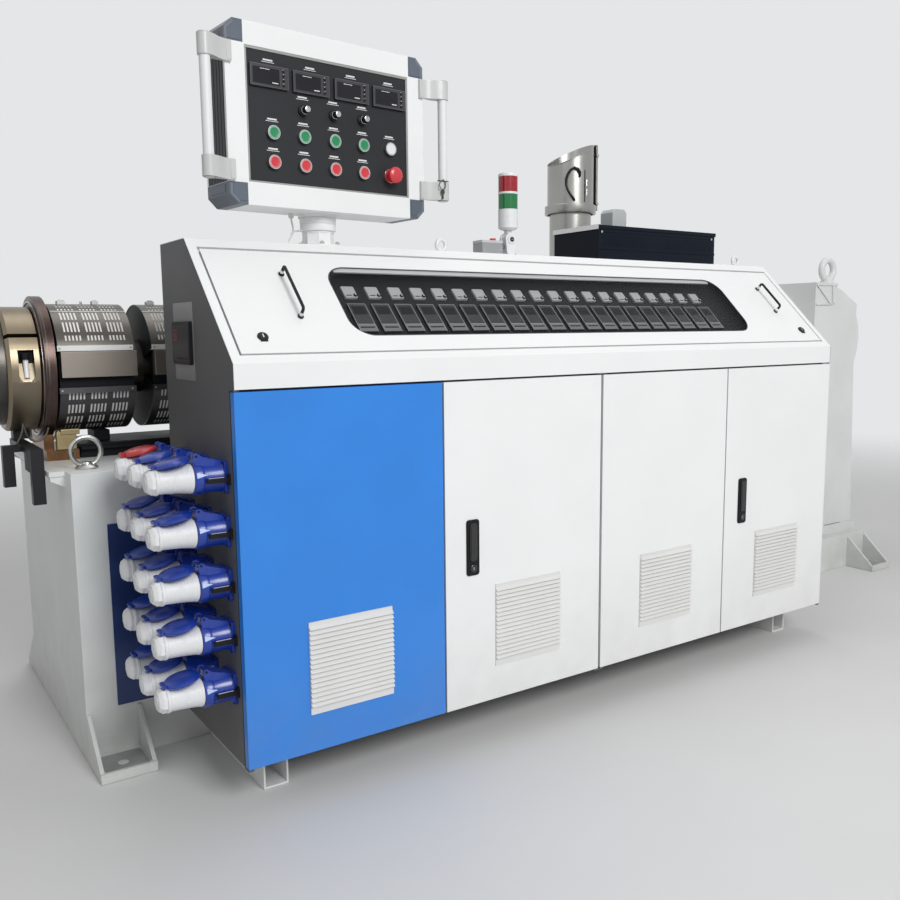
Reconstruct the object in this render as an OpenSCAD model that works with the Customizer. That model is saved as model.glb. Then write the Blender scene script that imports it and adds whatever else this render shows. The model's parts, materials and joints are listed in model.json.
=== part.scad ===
/* [Cabinet] */
// Length of the control cabinet
cab_len = 2000; // [1800:10:2400]
// Depth of the control cabinet from its doors to its back
cab_depth = 438; // [400:1:600]
// Height of the space that the doors close
door_zone_h = 803; // [600:1:1000]
// Height of the plain band over the doors
band_h = 52; // [40:1:120]
// Depth that the sloped console takes between band and top
slope_run = 268; // [240:1:320]
// Thickness of the cabinet's sheet metal
sheet = 1.5; // [1:0.1:3]

/* [Cabinet skids] */
// Height of the tube skids under the cabinet
skid_h = 100; // [60:1:160]
// Width of each tube skid
skid_w = 60; // [40:1:100]
// Wall of the tube skids
skid_wall = 5; // [3:0.5:8]
// Distance of a skid from the end of the cabinet
skid_inset_x = 65; // [20:1:200]
// Distance of a skid's front end from the doors
skid_inset_y = 86; // [20:1:150]

/* [Doors] */
// Number of doors along the front
door_count = 4; // [4]
// Depth of the folded edge of a door
door_edge = 20; // [15:1:24]
// Gap round a door
door_gap = 5; // [4:0.5:8]
// Distance of a hinge pin from the two outer faces of its door
pin_inset = 4; // [3.5:0.1:5]
// Diameter of a hinge pin
pin_d = 4; // [3:0.5:5]
// Gap between the doors and the frame behind them
frame_gap = 5; // [5:0.5:10]
// Section of the frame tubes behind the doors
frame_tube = 30; // [20:1:45]
// Side of the square louvred vents
vent_size = 208; // [150:1:260]
// Distance of a vent from the left edge of its door
vent_left = 145; // [80:1:200]
// Height of a vent above the bottom of its door
vent_low = 86; // [40:1:200]
// Depth that a vent stands proud of its door
vent_proud = 10; // [5:1:20]
// Number of slats in a vent
vent_slats = 17; // [8:1:24]
// Width of a door lock plate
lock_w = 37; // [25:1:50]
// Height of a door lock plate
lock_h = 137; // [100:1:180]
// Distance of a lock from the left edge of its door
lock_left = 62; // [30:1:100]
// Height of a lock above the bottom of its door
lock_low = 331; // [200:1:450]

/* [Console] */
// Margin below the console cover along the slope
cover_margin_low = 22; // [15:1:40]
// Margin over the console cover along the slope
cover_margin_top = 27; // [15:1:40]
// Margin beside the console cover
cover_margin_side = 22; // [15:1:60]
// Distance of the window from the left end of the cabinet
window_left = 305; // [250:1:400]
// Length of the window
window_len = 1375; // [1200:1:1450]
// Distance of the window from the lower edge of the slope
window_low = 73; // [60:1:90]
// Height of the window along the slope
window_h = 228; // [180:1:240]
// Radius of the window's corners
window_r = 55; // [20:1:80]
// Thickness of the window pane
pane = 4; // [3:0.5:6]
// Depth of the instrument plate under the slope
tray_depth = 32; // [26:1:60]
// Number of temperature controllers
controllers = 20; // [10:1:21]
// Pitch of the temperature controllers
controller_pitch = 63.4; // [60:0.1:66]
// Distance of the first controller from the left end of the cabinet
controller_first = 341; // [315:1:400]
// Width of a controller's face
controller_w = 47; // [40:1:55]
// Height of a controller's face
controller_h = 91; // [80:1:100]
// Distance of the controllers from the lower edge of the slope
controller_low = 110; // [80:1:120]
// Width of the small switches over the controllers
switch_w = 34; // [20:1:40]
// Height of the small switches over the controllers
switch_h = 38; // [25:1:45]

/* [Control box] */
// Distance of the post from the left end of the cabinet
post_x = 366; // [300:1:600]
// Distance of the post from the doors
post_y = 351; // [320:1:400]
// Width of the eight-sided post
post_w = 72; // [50:1:90]
// Height of the post over the cabinet
post_h = 63; // [40:1:400]
// Turn of the control box on its post
box_yaw = 4.6; // [0:0.1:15]
// Width of the control box over its corner pieces
box_w = 540; // [450:1:640]
// Height of the control box
box_h = 396; // [340:1:460]
// Depth of the control box
box_depth = 115; // [90:1:160]
// Width of the control box's side rails
rail_w = 48; // [35:1:60]
// Height of the control box's top and bottom rails
rail_h = 51; // [35:1:60]
// Distance of the box's face in front of the post's axis
face_forward = 81; // [60:1:100]
// Reach of the handles beyond the box
handle_reach = 67; // [45:1:90]
// Length of the handles
handle_len = 303; // [250:1:340]

/* [Base and barrel] */
// Length of the base frame
base_len = 3215; // [3000:5:3600]
// Length of the base frame beyond the left end of the cabinet
base_ahead = 230; // [150:1:400]
// Depth of the base frame
base_depth = 694; // [650:2:900]
// Height of the base under the barrel
base_high = 700; // [600:1:800]
// Length of the high part of the base
base_high_len = 2080; // [1900:5:2400]
// Height of the base under the gearbox
base_low = 140; // [100:1:200]
// Distance of the barrel's axis from the front of the base
axis_in = 372; // [330:1:420]
// Height of the barrel's axis over the floor
axis_h = 930; // [900:1:1050]
// Outer diameter of the barrel
barrel_d = 140; // [110:1:180]
// Outer diameter of the heater covers
cover_d = 330; // [280:2:360]
// Length of one heater cover
cover_len = 184; // [150:1:220]
// Pitch of the heating zones
zone_pitch = 228; // [200:1:260]
// Number of heating zones
zones = 7; // [4:1:7]
// Diameter of the die clamp
clamp_d = 314; // [260:2:340]
// Diameter of the ring between clamp and barrel
ring_d = 368; // [330:2:390]
// Length of the die clamp
clamp_len = 76; // [50:1:100]
// Distance of the feed throat from the left end of the cabinet
throat_x = 1604; // [1560:1:1640]
// Outer diameter of the hopper drum
drum_d = 166; // [150:1:260]
// Height of the lower edge of the hopper drum
drum_z = 1430; // [1380:1:1480]

/* [Gearbox] */
// Left face of the gearbox case, from the left end of the cabinet
case_x = 2650; // [2500:5:2700]
// Length of the gearbox case
case_len = 292; // [260:1:340]
// Width of the gearbox case from front to back
case_w = 620; // [500:2:680]
// Height of the gearbox case over the floor
case_top = 1196; // [1150:1:1300]
// Radius of the round side of the gearbox case
arch_r = 213; // [180:1:240]

/* [Hidden] */
$fn = 48;

// Small overlap that makes cuts run clear through
cut = 1;
// Gap between round faces that sit in each other
fit = 0.3;

// Heights and depths of the cabinet, from the floor and from the door faces
door_low = skid_h + 2;
door_top = skid_h + door_zone_h - door_gap;
band_low = skid_h + door_zone_h;
slope_low = band_low + band_h;
cab_top = slope_low + slope_run;
slope_len = slope_run * sqrt(2);
frame_y = door_edge + frame_gap;
door_pitch = cab_len / door_count;

// Reach of a door's corner past its hinge pin when it swings
pin_swing = pin_inset * (sqrt(2) - 1);
hinge_gap = door_gap + pin_swing;
pin_tab = 3;
pin_grip = 10;

// Left and right edge of each door, and where its hinge is
door_x0 = [0, door_pitch + door_gap / 2,
    2 * door_pitch + door_gap / 2 + pin_swing, 3 * door_pitch + door_gap / 2];
door_x1 = [door_pitch - door_gap / 2, 2 * door_pitch - door_gap / 2 - pin_swing,
    3 * door_pitch - door_gap / 2, cab_len];
hinge_right = [false, true, false, true];

// The cover lies in the slope with the same gaps as a door
cover_x0 = cover_margin_side + door_gap;
cover_x1 = cab_len - cover_margin_side - door_gap;
cover_s0 = cover_margin_low + door_gap;
cover_s1 = slope_len - cover_margin_top - hinge_gap;

// Base, barrel axis and foot places
base_x0 = -base_ahead;
base_x1 = base_len - base_ahead;
base_y0 = cab_depth;
base_y1 = cab_depth + base_depth;
axis_y = base_y0 + axis_in;
top_plate = 12;
foot_w = 128;
foot_reach = 120;
foot_plate = 14;
foot_h = 125;
foot_rib = 10;
anchor_d = 22;

// Zones of the barrel, counted from the die
flange_len = 24;
flange_x0 = base_x0 - 2;
cover_start = flange_x0 + flange_len + 10;
clamp_x1 = flange_x0 - 4;
clamp_x0 = clamp_x1 - clamp_len;
adapter_len = 33;
adapter_x0 = clamp_x0 - adapter_len;
throat_len = 280;
throat_x0 = throat_x - throat_len / 2;
throat_x1 = throat_x + throat_len / 2;

// Round side of the gearbox case
arch_x = case_x + case_len + 56 - arch_r;
arch_z = 970;
case_y0 = axis_y - case_w / 2;

// Places of the control box
box_z = cab_top + post_h + 16;
face_z = box_z + box_h / 2;

// The part's own origin is at the middle of its footprint
mid_x = (adapter_x0 + arch_x + arch_r) / 2;
mid_y = (base_y1 + foot_reach - vent_proud) / 2;

module placed() { translate([-mid_x, -mid_y, 0]) children(); }

// Frame of the slope: X along the cabinet, Y up the slope, Z out of it
module on_slope() { translate([0, 0, slope_low]) rotate([45, 0, 0]) children(); }

// Frame of the control box: X to its right, Y into its depth, Z up, at its face
module on_box() {
    translate([post_x, post_y, face_z]) rotate([0, 0, box_yaw])
        translate([0, -face_forward, 0]) children();
}

// Frame of the barrel: Z along the barrel to the right
module on_axis(x) { translate([x, axis_y, axis_h]) rotate([0, 90, 0]) children(); }

// Box between two corners
module block(low, high) { translate(low) cube(high - low); }

// Plate with a Y-Z outline, from x0 to x1
module slab_x(x0, x1, outline) {
    translate([x0, 0, 0]) rotate([90, 0, 90]) linear_extrude(x1 - x0) polygon(outline);
}

// Plate with an X-Z outline, from y0 to y1
module slab_y(y0, y1, outline) {
    translate([0, y1, 0]) rotate([90, 0, 0]) linear_extrude(y1 - y0) polygon(outline);
}

module rounded(w, h, r) {
    union() {
        translate([r, 0]) square([w - 2 * r, h]);
        translate([0, r]) square([w, h - 2 * r]);
        for (x = [r, w - r], y = [r, h - r]) translate([x, y]) circle(r);
    }
}

// Eye bolt standing on z = 0 with its ring across X
module eye_bolt(outer, inner, tall) {
    wire = (outer - inner) / 4;
    translate([0, 0, tall - outer / 2]) rotate([90, 0, 0])
        rotate_extrude() translate([(outer + inner) / 4, 0]) circle(wire, $fn = 24);
    cylinder(d = inner * 0.95, h = wire);
    translate([0, 0, wire]) cylinder(d1 = inner * 0.95, d2 = inner * 0.5, h = tall - outer);
    cylinder(d = inner * 0.5, h = tall - outer + wire * 2);
}

module cabinet_skids() color("whitesmoke") {
    for (x = [skid_inset_x, cab_len - skid_inset_x - skid_w])
        difference() {
            block([x, skid_inset_y, 0], [x + skid_w, cab_depth, skid_h]);
            block([x + skid_wall, skid_inset_y - cut, skid_wall],
                [x + skid_w - skid_wall, cab_depth + cut, skid_h - skid_wall]);
        }
}

module cabinet_floor() color("whitesmoke")
    block([sheet, frame_y, skid_h], [cab_len - sheet, cab_depth - sheet, skid_h + sheet]);

module side_panel(x) {
    slab_x(x, x + sheet, [[frame_y, skid_h], [cab_depth, skid_h], [cab_depth, cab_top - sheet],
        [slope_run + sheet, cab_top - sheet], [0, slope_low - sheet * sqrt(2)],
        [0, band_low], [frame_y, band_low]]);
}

module side_panels() color("gainsboro") {
    side_panel(0);
    side_panel(cab_len - sheet);
}

module back_panel() color("gainsboro")
    block([sheet, cab_depth - sheet, skid_h], [cab_len - sheet, cab_depth, cab_top - sheet]);

module top_panel() color("white")
    block([0, slope_run, cab_top - sheet], [cab_len, cab_depth, cab_top]);

// Tabs with a pin at the top and bottom corner of each door
module door_pins() {
    for (i = [0 : door_count - 1]) {
        x = hinge_right[i] ? door_x1[i] - pin_inset : door_x0[i] + pin_inset;
        tab_x0 = max(x - 8, 0);
        tab_x1 = min(x + 8, cab_len);
        block([tab_x0, 1, band_low - pin_tab], [tab_x1, frame_y, band_low]);
        translate([x, pin_inset, door_top - pin_grip])
            cylinder(d = pin_d, h = band_low - door_top + pin_grip);
        block([tab_x0, 1, door_low - door_gap], [tab_x1, frame_y, door_low - door_gap + pin_tab]);
        translate([x, pin_inset, door_low - door_gap])
            cylinder(d = pin_d, h = door_gap + pin_grip);
    }
}

module front_frame() color("gainsboro") {
    back = frame_y + frame_tube;
    low = skid_h + sheet;
    block([sheet, frame_y, band_low - frame_tube], [cab_len - sheet, back, band_low]);
    block([sheet, frame_y, low], [cab_len - sheet, back, low + frame_tube]);
    for (x = [sheet, cab_len / 2 - frame_tube / 2, cab_len - sheet - frame_tube])
        block([x, frame_y, low], [x + frame_tube, back, band_low]);
    door_pins();
}

module console_rim() color("white") {
    ox0 = cover_margin_side;
    ox1 = cab_len - cover_margin_side;
    os0 = cover_margin_low;
    os1 = slope_len - cover_margin_top;
    difference() {
        slab_x(sheet, cab_len - sheet, [[0, band_low], [0, slope_low],
            [slope_run, cab_top], [slope_run, cab_top - sheet * sqrt(2)],
            [sheet, slope_low - sheet * (sqrt(2) - 1)], [sheet, band_low + sheet],
            [frame_y + frame_tube, band_low + sheet], [frame_y + frame_tube, band_low]]);
        on_slope() block([ox0, os0, -2 * sheet], [ox1, os1, cut]);
    }
    on_slope() difference() {
        block([ox0 - sheet, os0 - sheet, -tray_depth], [ox1 + sheet, os1 + sheet, -sheet / 2]);
        block([ox0, os0, -tray_depth - cut], [ox1, os1, cut]);
    }
    cover_pins();
}

// Pins at the two upper corners of the console cover
module cover_pins() {
    for (x = [cover_margin_side - sheet, cover_x1 - pin_grip])
        on_slope() translate([x, cover_s1 - pin_inset, -pin_inset]) rotate([0, 90, 0])
            cylinder(d = pin_d, h = pin_grip + door_gap + sheet);
}

module instrument_plate() color("dimgray")
    on_slope() block([cover_margin_side - sheet, cover_margin_low - sheet, -tray_depth - 2],
        [cab_len - cover_margin_side + sheet, slope_len - cover_margin_top + sheet, -tray_depth]);

module temperature_controllers() color("black") {
    for (i = [0 : controllers - 1])
        on_slope() translate([controller_first + i * controller_pitch, controller_low, -tray_depth])
            difference() {
                cube([controller_w, controller_h, 9]);
                translate([3, 12, 7.5]) cube([controller_w - 6, controller_h - 18, 3]);
            }
}

module current_switches() color("white") {
    gap = 24;
    for (i = [0 : controllers - 1])
        on_slope() translate([controller_first + i * controller_pitch
                + (controller_w - switch_w) / 2, controller_low + controller_h + gap,
                -tray_depth]) {
            cube([switch_w, switch_h, 6]);
            translate([switch_w - 9, 3, 6]) cube([6, 8, 5]);
        }
}

module side_meter() color("black") {
    difference() {
        block([-9, 232, 947], [0, 354, 1042]);
        block([-9 - cut, 242, 957], [-7, 344, 1032]);
    }
}

socket_rows = 5;
socket_cols = 3;
socket_pitch_y = 113;
socket_pitch_z = 114;
socket_y = 82;
socket_z = 265;
socket_d = 66;
plug_d = 60;
// Ends and heights over the socket's axis
collar_end = 68;
hinge_high = 50;
lid_d = 76;
lid_thick = 12;
lid_high = 33;
lid_lean = -11;

module socket_places() {
    for (row = [0 : socket_rows - 1], col = [0 : socket_cols - 1])
        translate([0, socket_y + col * socket_pitch_y, socket_z + row * socket_pitch_z])
            rotate([0, -90, 0]) children();
}

// A socket's body with the hinge block of its lid on top
module sockets() color("royalblue") socket_places() {
    translate([-34, -34, 0]) cube([68, 68, 8]);
    translate([0, 0, 8]) cylinder(d = socket_d, h = collar_end - 8);
    translate([0, 22, 0]) rotate([90, 0, 0]) linear_extrude(44) polygon([
        [20, 8], [34, 8], [hinge_high, collar_end - 10], [hinge_high, collar_end - 3],
        [20, collar_end - 3]]);
}

// Lid that lies open on the plug, with its hinge tab
module socket_lid() {
    translate([lid_high, 0, collar_end + 1 + lid_d / 2]) rotate([0, lid_lean, 0]) {
        rotate([0, 90, 0]) intersection() {
            cylinder(d = lid_d, h = lid_thick);
            translate([0, 0, lid_thick - 130]) sphere(r = 130, $fn = 96);
        }
        block([lid_thick - 7, -16, -lid_d / 2 - 4], [lid_thick - 1, 16, -lid_d / 2 + 8]);
    }
}

module is_red(red) {
    for (row = [0 : socket_rows - 1], col = [0 : socket_cols - 1])
        if ((row == socket_rows - 1 && col == socket_cols - 1) == red)
            translate([0, socket_y + col * socket_pitch_y, socket_z + row * socket_pitch_z])
                rotate([0, -90, 0]) children();
}

module socket_lids() color("royalblue") is_red(false) socket_lid();
module red_lid() color("firebrick") is_red(true) socket_lid();

// Lever with a cross foot in front of each socket
module socket_levers() color("black") socket_places() {
    block([-14, -46, 0], [8, -36, 5]);
    block([-8, -43, 5], [2, -37, 48]);
}

module plugs() color("white") socket_places()
    translate([0, 0, collar_end + fit]) rotate_extrude() polygon([
        [0, 0], [plug_d / 2, 0], [plug_d / 2, 8], [plug_d / 2 - 5, 70], [plug_d / 2 - 4, 74],
        [plug_d / 2 - 4, 79], [plug_d / 2 - 8, 82], [plug_d / 2 - 14, 94], [0, 94]]);

module cabinet_eyes() color("silver")
    for (x = [712, cab_len - 82]) translate([x, slope_run + 52, cab_top]) eye_bolt(40, 22, 40);

module machine_eyes() color("silver") {
    for (y = [base_y0 + 77, base_y1 - 77])
        translate([base_x0 + 53, y, base_high]) eye_bolt(80, 56, 81);
    for (y = [case_y0 + 60, case_y0 + case_w - 60])
        translate([case_x + 165, y, case_top]) eye_bolt(108, 60, 110);
}

tower_x = 961;
tower_y = 350;
tower_d = 56;
pivot_z = cab_top + 48;
pivot_d = 38;

module tower_base() color("white") {
    translate([tower_x, tower_y, cab_top]) {
        block([-20, -20, 0], [20, 20, 6]);
        difference() {
            union() {
                block([-14, -15, 0], [14, 15, 48]);
                translate([0, 15, 48]) rotate([90, 0, 0]) cylinder(d = pivot_d, h = 30);
            }
            block([-pivot_d, -8 - fit, 24], [pivot_d, 8 + fit, 80]);
            translate([0, 20, 48]) rotate([90, 0, 0]) cylinder(d = 8, h = 40);
        }
    }
    translate([tower_x - 105, tower_y - 20, cab_top]) {
        cube([70, 45, 42]);
        translate([52, 22, 42]) cylinder(d = 20, h = 8);
    }
}

module tower_light() color("white") translate([tower_x, tower_y, pivot_z]) {
    rotate([90, 0, 0]) translate([0, 0, -8]) cylinder(d = pivot_d - 4, h = 16);
    rotate([90, 0, 0]) translate([0, 0, -17]) cylinder(d = 8 - 2 * fit, h = 34);
    block([-8, -8, 0], [8, 8, 27]);
    translate([0, 0, 26]) cylinder(d1 = 34, d2 = tower_d, h = 5);
    translate([0, 0, 31]) cylinder(d = tower_d, h = 53);
    translate([0, 0, 31]) cylinder(d = 20, h = 149);
    translate([0, 0, 125]) cylinder(d = tower_d, h = 6);
    translate([0, 0, 173]) cylinder(d1 = tower_d, d2 = tower_d - 8, h = 11);
}

module tower_lenses() color("red") translate([tower_x, tower_y, pivot_z])
    for (z = [84, 131]) translate([0, 0, z + 0.1]) difference() {
        cylinder(d = tower_d - 2, h = z == 84 ? 40.8 : 41.8);
        translate([0, 0, -cut]) cylinder(d = 20 + 2 * fit, h = 60);
    }

module octagon(w, h) { rotate([0, 0, 22.5]) cylinder(d = w / cos(22.5), h = h, $fn = 8); }

module control_post() color("silver") translate([post_x, post_y, cab_top]) {
    cylinder(d = 116, h = 6);
    octagon(post_w, post_h);
    translate([0, 0, post_h]) cylinder(d = 96, h = 7.7);
}

// The rails run this far under the corner pieces
rail_lap = 3;
inner_w = box_w / 2 - rail_w;
inner_h = box_h / 2 - rail_h;

module box_shell() color("white") {
    iw = inner_w;
    ih = inner_h;
    on_box() {
        for (side = [-1, 1]) {
            translate([side * (box_w / 2 - rail_w / 2) - rail_w / 2, 0, -ih - rail_lap])
                cube([rail_w, box_depth, 2 * (ih + rail_lap)]);
            translate([-iw - rail_lap, 0, side * (box_h / 2 - rail_h / 2) - rail_h / 2])
                cube([2 * (iw + rail_lap), box_depth, rail_h]);
        }
        block([-iw - rail_lap, box_depth - 8, -ih - rail_lap],
            [iw + rail_lap, box_depth - 4, ih + rail_lap]);
        translate([0, face_forward, -box_h / 2 - 8]) cylinder(d = 96, h = 8.01);
    }
}

module box_corners() color("slategray") {
    on_box() for (sx = [-1, 1], sz = [-1, 1])
        scale([sx, 1, sz]) slab_y(0, box_depth, [
            [inner_w + rail_lap, inner_h + rail_lap], [box_w / 2, inner_h + rail_lap],
            [box_w / 2, box_h / 2 - 22], [box_w / 2 - 22, box_h / 2],
            [inner_w + rail_lap, box_h / 2]]);
}

module control_face() color("darkslategray") on_box()
    block([-box_w / 2 + rail_w, 3, -box_h / 2 + rail_h], [box_w / 2 - rail_w, 6, box_h / 2 - rail_h]);

module box_handles() color("lightgray") on_box()
    for (side = [-1, 1]) scale([side, 1, 1]) {
        tube_u = box_w / 2 + handle_reach - 15;
        for (v = [-handle_len / 2, handle_len / 2 - 50])
            translate([0, 0, v]) linear_extrude(50) union() {
                translate([tube_u, -14]) circle(15);
                polygon([[box_w / 2 - 12, 0], [box_w / 2, 0], [box_w / 2 + 10, 0],
                    [tube_u, -2], [tube_u, -26], [box_w / 2 + 14, -10], [box_w / 2 - 12, -6]]);
            }
        translate([tube_u, -14, -handle_len / 2 + 10]) cylinder(d = 24, h = handle_len - 20);
    }

// The meters share the width of the face
meters = 4;
meter_edge = 10;
meter_gap = 40 / 3;
meter_w = (2 * (inner_w - meter_edge) - (meters - 1) * meter_gap) / meters;
meter_u = [for (i = [0 : meters - 1]) meter_edge - inner_w + i * (meter_w + meter_gap)];
meter_v = 63;
meter_h = 48;

module box_meters() color("black") on_box()
    for (u = meter_u) difference() {
        block([u, -5, meter_v], [u + meter_w, 3, meter_v + meter_h]);
        block([u + 6, -5 - cut, meter_v + 6], [u + meter_w - 18, -4, meter_v + meter_h - 6]);
    }

// Columns and rows of the round controls on the box's face
column_u = [for (share = [-0.712, -0.351, 0.018, 0.383, 0.743]) share * inner_w];
selector_v = 25;
start_v = -34;
stop_v = -99;

module button(u, v, d, proud) {
    translate([u, 3, v]) rotate([90, 0, 0]) {
        cylinder(d = d, h = 5);
        cylinder(d = d - 6, h = proud);
    }
}

module panel_controls() color("silver") on_box() {
    for (i = [0 : 3]) {
        button(column_u[i], start_v, 30, 12);
        button(column_u[i], stop_v, 30, 12);
    }
    button(column_u[4], start_v, 30, 12);
    for (i = [1 : 3]) {
        button(column_u[i], selector_v, 26, 9);
        translate([column_u[i], 0, selector_v]) block([-3.5, -18, -11], [3.5, -4, 11]);
    }
    translate([column_u[4], 3, stop_v]) rotate([90, 0, 0]) {
        cylinder(d = 32, h = 6);
        cylinder(d = 24, h = 24);
        translate([0, 0, 20]) cylinder(d1 = 34, d2 = 40, h = 6);
        translate([0, 0, 26]) cylinder(d1 = 40, d2 = 28, h = 7);
    }
}

module base_frame() color("gainsboro") {
    high_x1 = base_x0 + base_high_len;
    block([base_x0, base_y0, 0], [high_x1, base_y1, base_high - top_plate]);
    block([base_x0 - 35, base_y0 + 60, base_high - top_plate], [base_x0, base_y1 - 60, base_high]);
    block([base_x0, base_y0, base_high - top_plate], [high_x1, base_y1, base_high]);
    block([base_x0, base_y0, 0], [base_x1, base_y1, base_low]);
    for (y = [base_y0 + 62, base_y1 - 72])
        slab_y(y, y + 10, [[base_x0, base_high - top_plate], [base_x0, base_high - 38],
            [base_x0 - 33, base_high - 22], [base_x0 - 33, base_high - top_plate]]);
}

// Foot bracket at the front, from x to x + foot_w
module foot(x) {
    difference() {
        union() {
            block([x, base_y0 - foot_reach, 0], [x + foot_w, base_y0, foot_plate]);
            for (rx = [x, x + foot_w - foot_rib])
                slab_x(rx, rx + foot_rib, [[base_y0 - foot_reach, 0], [base_y0, 0],
                    [base_y0, foot_h], [base_y0 - 6, foot_h],
                    [base_y0 - foot_reach, foot_plate + 4]]);
        }
        translate([x + foot_w / 2, base_y0 - foot_reach / 2, -cut])
            cylinder(d = anchor_d, h = foot_plate + 2 * cut);
    }
}

module base_feet() color("gainsboro") {
    for (x = [base_x0, base_x1 - foot_w]) {
        foot(x);
        translate([0, base_y0 + base_y1, 0]) mirror([0, 1, 0]) foot(x);
    }
}

module blue_plate() color("navy")
    block([base_x0 + 73, base_y0 - 3, 132], [-20, base_y0, 575]);

module barrel_support() color("peru") {
    difference() {
        union() {
            block([flange_x0, axis_y - 110, base_high], [flange_x0 + 78, axis_y + 110, base_high + 26]);
            block([flange_x0, axis_y - 80, base_high], [flange_x0 + flange_len, axis_y + 80, base_high + 100]);
        }
        on_axis(flange_x0 - cut) cylinder(d = ring_d + 2 * fit, h = flange_len + 2 * cut);
    }
}

module barrel() color("dimgray") {
    on_axis(flange_x0) cylinder(d = ring_d, h = flange_len);
    on_axis(flange_x0) cylinder(d = barrel_d, h = throat_x0 - flange_x0);
}

module heater_covers() color("silver") {
    wall = 2;
    for (i = [0 : zones - 1]) on_axis(cover_start + i * zone_pitch) difference() {
        cylinder(d = cover_d, h = cover_len);
        translate([0, 0, wall]) cylinder(d = cover_d - 2 * wall, h = cover_len - 2 * wall);
        translate([0, 0, -cut]) cylinder(d = barrel_d + 2 * fit, h = cover_len + 2 * cut);
        // Room for the terminal cover on the front side
        block([-45, -cover_d, -cut], [45, -cover_d / 2 + 22, cover_len + 2 * cut]);
    }
}

module terminal_covers() color("silver")
    for (i = [0 : zones - 1]) translate([cover_start + i * zone_pitch + 4, axis_y, axis_h])
        block([0, -cover_d / 2 - 2, -20], [cover_len - 2, -cover_d / 2 + 22, 44]);

module die_clamp() color("tan") {
    slot_a = 32;
    difference() {
        on_axis(clamp_x0) cylinder(d = clamp_d, h = clamp_len);
        on_axis(clamp_x0 - cut) cylinder(d = 200, h = clamp_len + 2 * cut);
        translate([0, axis_y, axis_h]) for (side = [0, 180 - 2 * slot_a])
            rotate([-slot_a - side + 0, 0, 0])
                block([clamp_x0 - cut, -clamp_d, -5], [clamp_x1 + cut, -90, 5]);
        block([clamp_x0 + 22, axis_y - clamp_d, axis_h - 30],
            [clamp_x0 + 60, axis_y - clamp_d / 2 + 24, axis_h + 50]);
    }
}

module die_adapter() color("dimgray") {
    on_axis(adapter_x0) cylinder(d = clamp_d - 34, h = adapter_len);
    on_axis(adapter_x0) cylinder(d = 199, h = flange_x0 - adapter_x0);
}

module clamp_bracket() color("black") {
    x = clamp_x0 + 20;
    difference() {
        block([x, axis_y - 20, base_high + 52], [x + 40, axis_y + 20, base_high + 80]);
        on_axis(clamp_x0 - cut) cylinder(d = clamp_d + 2 * fit, h = clamp_len + 2 * cut);
    }
    front = base_y0 + 89;
    block([x - 4, front, base_high + 36], [x + 24, axis_y + 20, base_high + 52]);
    block([x - 4, front + 25, base_high - 4], [x + 24, front + 90, base_high + 52]);
    block([x - 4, front, base_high - 78], [x + 24, front + 25, base_high + 52]);
    block([adapter_x0 + 6, axis_y - 165, base_high - 48],
        [adapter_x0 + 32, axis_y - 139, base_high + 52]);
    block([adapter_x0 + 6, axis_y - 165, base_high + 36], [x - 4, axis_y - 139, base_high + 52]);
}

module feed_section() color("gainsboro") {
    half = 110;
    difference() {
        union() {
            block([throat_x0, axis_y - half, axis_h - half], [throat_x1, axis_y + half, axis_h + half]);
            block([throat_x - 90, axis_y - half, base_high], [throat_x + 90, axis_y + half, axis_h]);
            block([throat_x - 120, axis_y - half, axis_h + half],
                [throat_x + 120, axis_y + half, axis_h + half + 20]);
        }
        translate([throat_x, axis_y, axis_h]) cylinder(d = 100, h = half + 21);
    }
}

hopper_wall = 2;
neck_d = 150;
band_tall = 30;
mouth_slope = 27;

module hopper() color("silver") {
    low = axis_h + 130;
    drum_top = drum_z + band_tall;
    difference() {
        union() {
            translate([throat_x, axis_y, low]) cylinder(d = neck_d + 60, h = 12);
            translate([throat_x, axis_y, low]) cylinder(d = neck_d, h = drum_z - low + 4);
            translate([throat_x, axis_y, drum_z]) cylinder(d = drum_d + 18, h = band_tall);
            difference() {
                translate([throat_x, axis_y, drum_z]) cylinder(d = drum_d, h = 290);
                translate([throat_x, axis_y, drum_top + 180]) rotate([0, -mouth_slope, 0])
                    translate([-200, -200, 0]) cube(400);
            }
        }
        translate([throat_x, axis_y, low - cut]) cylinder(d = 100, h = 30);
        translate([throat_x, axis_y, low + 12]) cylinder(d = neck_d - 2 * hopper_wall, h = drum_z - low);
        translate([throat_x, axis_y, drum_z + hopper_wall])
            cylinder(d = drum_d - 2 * hopper_wall, h = 320);
    }
}

module gearbox_snout() color("gainsboro") {
    len = case_x - throat_x1;
    on_axis(throat_x1) rotate_extrude() polygon([
        [0, 0], [160, 0], [160, 30], [120, 40], [120, len - 740], [150, len - 700],
        [150, len - 560], [260, len - 350], [270, len - 330], [270, len], [0, len]]);
}

module gearbox_case() color("gainsboro") {
    x1 = case_x + case_len;
    deck = base_low;
    flange = 36;
    peak = case_x + 145;
    hit_x = arch_x + arch_r * cos(42);
    hit_z = arch_z + arch_r * sin(42);
    outline = [[case_x, deck], [x1 + 32, deck], [x1, arch_z - 144],
        [x1, arch_z], [hit_x, hit_z], [peak, case_top - 16], [peak, case_top],
        [case_x, case_top]];
    block([case_x - 40, case_y0 - 12, deck], [x1 + 40, case_y0 + case_w + 12, deck + flange]);
    slab_y(case_y0, case_y0 + case_w, outline);
    intersection() {
        translate([arch_x, case_y0 + case_w - 20, arch_z]) rotate([90, 0, 0])
            cylinder(r = arch_r, h = case_w - 40);
        block([case_x, case_y0, 0], [arch_x + arch_r + cut, case_y0 + case_w, case_top + cut]);
    }
}

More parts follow.
